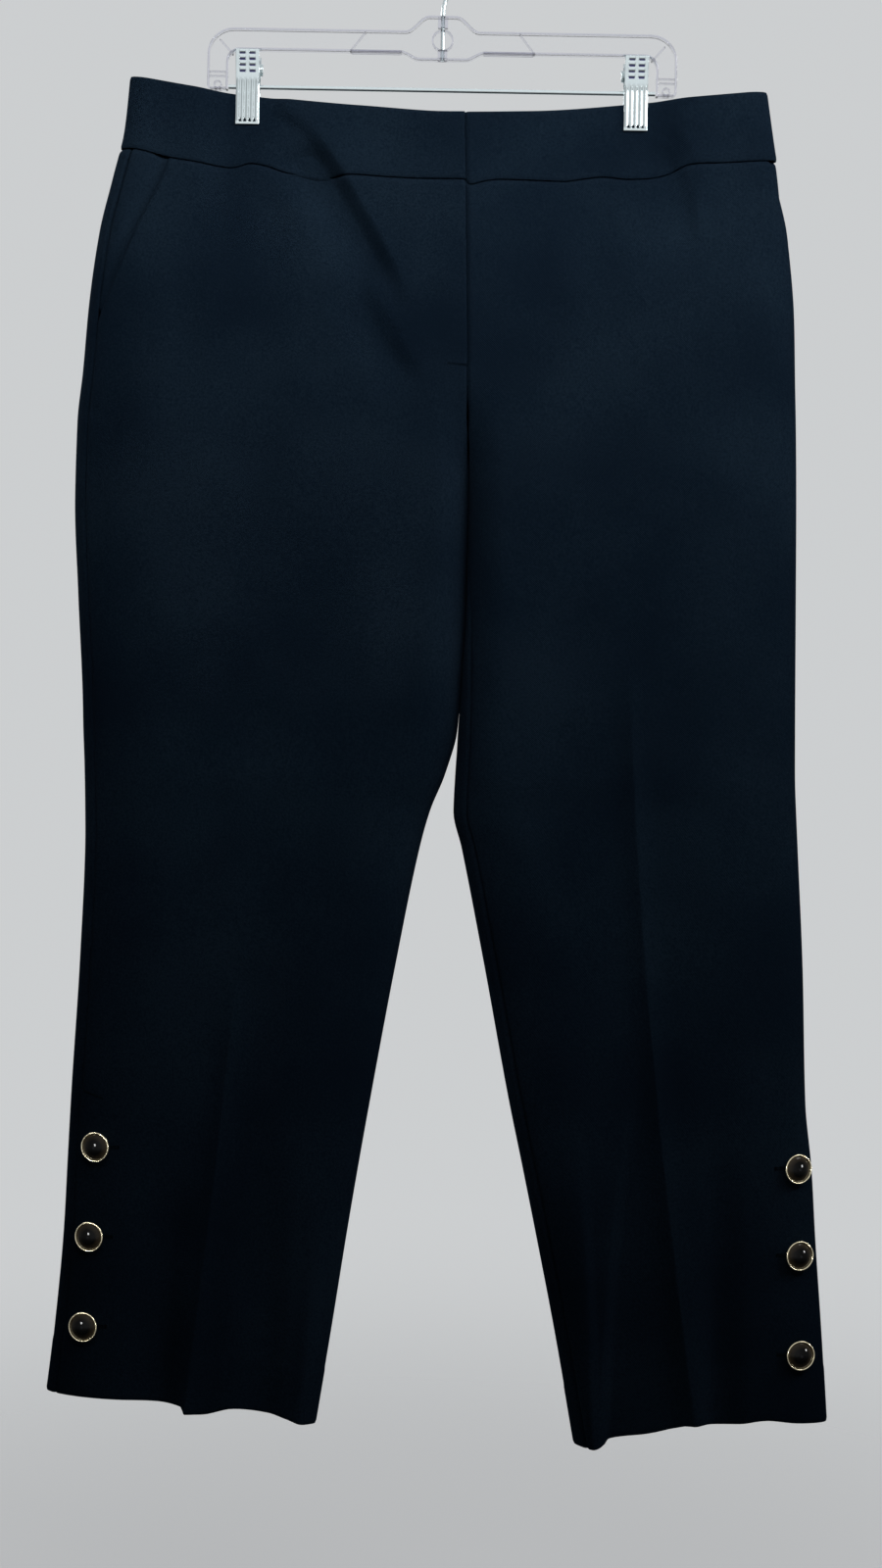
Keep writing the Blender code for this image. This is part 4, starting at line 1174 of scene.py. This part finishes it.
def hook_route():
    """Up the stem, a bend to the right, then over the rail to the open tip at the left."""
    centre = HOOK_WIRE - HOOK_RADIUS
    angles = np.radians(np.linspace(HOOK_START, HOOK_TIP, 61))
    arc = [(HOOK_RADIUS * math.cos(a), centre + HOOK_RADIUS * math.sin(a)) for a in angles]
    start = Vector((0.0, HANGER_TOP + LAYER))
    end = Vector(arc[0])
    leaves = Vector((0.0, 13.0))
    meets = Vector((-math.sin(angles[0]), math.cos(angles[0]))) * 9.0
    stem = []
    for share in np.linspace(0.0, 1.0, 21)[:-1]:
        rest = 1.0 - share
        spot = start * rest**3 + (start + leaves) * 3.0 * rest * rest * share
        spot = spot + (end - meets) * 3.0 * rest * share * share + end * share**3
        stem.append((spot.x, spot.y))
    return [(x, 0.0, z) for x, z in stem + arc]


def hanger_metal():
    hook = wire("hanger_hook_wire", HOOK_WIRE, 6, hook_route())
    finish(hook, STEEL, "bright_steel", "hanger_hook")
    stem = wire("hook_stem", 1.35, 6, [(0.0, 0.0, z) for z in (HANGER_TOP, -70.0, -84.0)])
    finish(stem, STEEL, "bright_steel")
    end = ARM_INSIDE - LAYER
    rod = wire("hanger_rod_bar", ROD_RADIUS, 6, [(x, 0.0, ROD_HEIGHT) for x in (-end, 0.0, end)])
    finish(rod, STEEL, "bright_steel", "hanger_rod")


# ---- clips ---------------------------------------------------------------------------------

PLATE = 0.9
PLATE_FOOT = -130.6
PLATE_COLUMNS = 48
PLATE_ROWS = 112
FLUTES = 5
FLUTES_FROM = -99.0
FLUTE_RISE = 0.5
SLOT_HEIGHTS = (-84.2, -87.9, -91.6, -95.3)
SLOT_COLUMN = 3.3  # from the plate's middle to each column of slots
SLOT_REACH = (2.1, 0.5)
NOTCHES = (-4.8, -1.6, 1.6, 4.8)
NOTCH_FOOT = -129.0
PLATE_SHEET = 0.75
SPRING_TURNS = 15
SPRING_STEPS = 18
SPRING_WIRE = 0.5
plate_away = curve_through(*zip(*PLATE_PROFILE))


def slotted(x, z):
    """From 0 to 1: how far a place lies in one of the pressed slots, and in the louvre that
    stands out over it."""
    across = eased((SLOT_REACH[0] + 0.25 - np.abs(np.abs(x) - SLOT_COLUMN)) / 0.5)
    slot, louvre = np.zeros(np.shape(x)), np.zeros(np.shape(x))
    for height in SLOT_HEIGHTS:
        slot = slot + eased((SLOT_REACH[1] + 0.25 - np.abs(z - height)) / 0.5)
        louvre = louvre + np.exp(-(((z - height - 1.3) / 0.9) ** 2))
    return slot * across, louvre * across


def plate_relief(x, z):
    """How far the pressing stands out: louvred slots on top, round-topped flutes below them,
    and edges bent back."""
    pitch = CLIP_WIDTH / FLUTES
    across = 0.5 + 0.5 * np.cos(2.0 * math.pi * x / pitch)
    tops = FLUTES_FROM - 1.8 * (1.0 - across)
    flutes = FLUTE_RISE * across * eased((tops - z) / 2.4) * eased((z - PLATE_FOOT - 1.6) / 1.5)
    slot, louvre = slotted(x, z)
    bent = np.exp(-(((CLIP_WIDTH / 2.0 - np.abs(x)) / 0.8) ** 2))
    return flutes + 0.3 * louvre - 0.4 * slot - 0.12 * bent


def notched(x, z):
    """Whether a place lies in one of the four notches over the plate's lip."""
    notch = np.zeros(np.shape(x), bool)
    for at in NOTCHES:
        height = z - NOTCH_FOOT
        notch = notch | ((height > 0.0) & (np.abs(x - at) < 1.15 - 0.42 * height) & (height < 2.6))
    return notch


def clip_plate(side, layer, clip_x):
    facing = -1.0 if layer == "front" else 1.0
    x = np.linspace(-0.5, 0.5, PLATE_COLUMNS + 1) * CLIP_WIDTH
    z = np.linspace(PLATE_PROFILE[0][0], PLATE_FOOT, PLATE_ROWS + 1)
    x, z = np.meshgrid(x, z)
    out = plate_away(z) + PLATE + plate_relief(x, z)
    grid = np.stack([clip_x + x, facing * out, z], axis=-1) * MM
    faces = quads(*x.shape, layer == "back")
    middle_x, middle_z = (
        0.25 * (a[:-1, :-1] + a[:-1, 1:] + a[1:, 1:] + a[1:, :-1]).ravel() for a in (x, z)
    )
    kept = ~notched(middle_x, middle_z)
    faces = faces[kept]
    # The faces in the slots take the dark steel, which is painted shade.
    shaded_slots = (slotted(middle_x, middle_z)[0][kept] > 0.5).astype(int)
    name = f"clip_{layer}_{side}_plate"
    data = bpy.data.meshes.new(name)
    data.from_pydata(grid.reshape(-1, 3).tolist(), [], faces.tolist())
    data.shade_smooth()
    data.polygons.foreach_set("material_index", shaded_slots)
    thing = finish(new_object(name, data), STEEL, "bright_steel", f"clip_{layer}_{side}")
    data.materials.append(PAINTED_SLOT_SHADE)
    thickened(thing, "sheet metal", PLATE_SHEET)


def clip_spring(side, clip_x, inwards):
    """A coil round an axis across the clip, between its two plates."""
    radius = SPRING_RADIUS - 0.6
    start = clip_x + inwards * SPRING_REACH[0]
    run = inwards * (SPRING_REACH[1] - SPRING_REACH[0])
    route = []
    for i in range(SPRING_TURNS * SPRING_STEPS + 1):
        share = i / (SPRING_TURNS * SPRING_STEPS)
        angle = 2.0 * math.pi * SPRING_TURNS * share
        x = start + run * share
        route.append((x, radius * math.sin(angle), SPRING_HEIGHT + radius * math.cos(angle)))
    coil = wire(f"clip_spring_{side}_coil", SPRING_WIRE, 2, route)
    finish(coil, STEEL, "bright_steel", f"clip_spring_{side}")


def clips(side):
    inwards = 1.0 if side == "right" else -1.0
    clip_x = -inwards * CLIP_X
    clip_plate(side, "front", clip_x)
    clip_plate(side, "back", clip_x)
    clip_spring(side, clip_x, inwards)


# ---- floor, light and camera ---------------------------------------------------------------

CAMERA_PLACE = (0.00766, -1.315, -0.5768)
CAMERA_LENS = 44.32
CAMERA_ROLL = 1.0  # degrees
FLOOR_HEIGHT = -1.2
FLOOR_RADIUS = 1.6
PALE = (0.605, 0.62, 0.63)
ROOM_LIGHT = 0.02  # how much of the pale room's own light falls on things
ROOM_GLOSS = 1.3  # and how much of it shows in what shines
# How the room dims in what shines, towards each side and low down: two places and the light
# at both.
ROOM_SHADES = ((0.2, 0.7, 1.0, 0.5), (-0.7, -0.15, 0.2, 1.0))
FLOOR_COLOUR = (0.12, 0.121, 0.122)
FLOOR_GLOW = 0.44  # what the floor adds of its own, which lights nothing else


def floor():
    """A pale disc under the trousers that fades into the pale world round it."""
    mesh = bmesh.new()
    bmesh.ops.create_circle(mesh, cap_ends=True, segments=96, radius=FLOOR_RADIUS)
    data = bpy.data.meshes.new("floor")
    mesh.to_mesh(data)
    mesh.free()
    disc = new_object("floor", data)
    disc.location.z = FLOOR_HEIGHT
    looks = {"Base Color": (*FLOOR_COLOUR, 1.0), "Roughness": 0.9}
    looks["Emission Color"] = (0.96, 0.98, 1.0, 1.0)
    made, tree, shader = shaded("pale floor", looks)
    seen = read(tree, "LightPath", "Is Camera Ray")
    away = length(tree, read(tree, "TexCoord", "Object"))
    edge = (FLOOR_RADIUS * 0.95, 1.0, 0.0)
    fade = ranged(tree, away, 0.2, *edge, interpolation_type="SMOOTHSTEP")
    above = maths(tree, "SUBTRACT", 1.0, read(tree, "NewGeometry", "Backfacing"))
    glow = ranged(tree, seen, 0.0, 1.0, 0.0, FLOOR_GLOW)
    feed(tree, shader, {"Emission Strength": glow, "Alpha": maths(tree, "MULTIPLY", fade, above)})
    disc.data.materials.append(made)


def softbox(name, place, aim, size, power, shows=True, lights=True):
    lamp = bpy.data.lights.new(name, "AREA")
    lamp.shape = "RECTANGLE"
    lamp.size, lamp.size_y = size
    lamp.energy = power
    lamp.spread = math.radians(100.0)
    thing = new_object(name, lamp)
    thing.location = place
    thing.rotation_euler = (Vector(aim) - Vector(place)).to_track_quat("-Z", "Y").to_euler()
    thing.visible_camera = False
    thing.visible_transmission = False
    thing.visible_glossy = shows
    thing.visible_diffuse = lights


def world():
    made = bpy.data.worlds.new("pale room")
    made.use_nodes = True
    tree = made.node_tree
    back = tree.nodes["Background"]
    rays = tree.nodes.new("ShaderNodeLightPath").outputs
    towards = read(tree, "TexCoord", "Generated")
    split = add(tree, "SeparateXYZ", {"Vector": towards}).outputs
    shown = ROOM_GLOSS
    for value, ends in zip((maths(tree, "ABSOLUTE", split["X"]), split["Z"]), ROOM_SHADES):
        shown = maths(tree, "MULTIPLY", shown, ranged(tree, value, *ends))
    mirrored = maths(tree, "MULTIPLY", rays["Is Glossy Ray"], rays["Is Reflection Ray"])
    for_cloth = ranged(tree, rays["Is Diffuse Ray"], 0.0, 1.0, 1.0, ROOM_LIGHT)
    for_gloss = ranged(tree, mirrored, 0.0, 1.0, 1.0, shown)
    strength = maths(tree, "MULTIPLY", for_cloth, for_gloss)
    feed(tree, back, {"Color": (*PALE, 1.0), "Strength": strength})
    bpy.context.scene.world = made
    bpy.context.scene.view_settings.view_transform = "Standard"


def camera():
    lens = bpy.data.cameras.new("camera")
    lens.lens = CAMERA_LENS
    thing = new_object("camera", lens)
    thing.location = CAMERA_PLACE
    thing.rotation_euler = (math.radians(90.0), math.radians(-CAMERA_ROLL), 0.0)
    bpy.context.scene.camera = thing


def stage():
    world()
    floor()
    camera()
    for name, facing, power in (("front", 1.0, 1.0), ("back", -1.0, 0.85)):
        key_place, top_place = (1.1 * facing, -0.5 * facing, 0.3), (0.0, -0.85 * facing, 0.2)
        softbox(f"{name} key", key_place, (0.0, 0.0, -0.2), (0.7, 0.5), 2.9 * power)
        softbox(f"{name} top", top_place, (0.0, 0.0, 0.0), (0.9, 0.3), 2.5 * power, False)
    for name, place in (("right window", (1.15, -0.55, -0.75)), ("left window", (-0.74, -0.86, -0.82))):
        softbox(name, place, (0.0, 0.0, -0.9), (0.12, 0.16), 1.1, lights=False)


# ---- the whole -----------------------------------------------------------------------------


def dress():
    for side in ("right", "left"):
        waistband(side)
        panels(side)
        buttons(side)
        clips(side)
    fly_underlap()
    sewing()
    hanger_body()
    hanger_metal()
    stage()


dress()
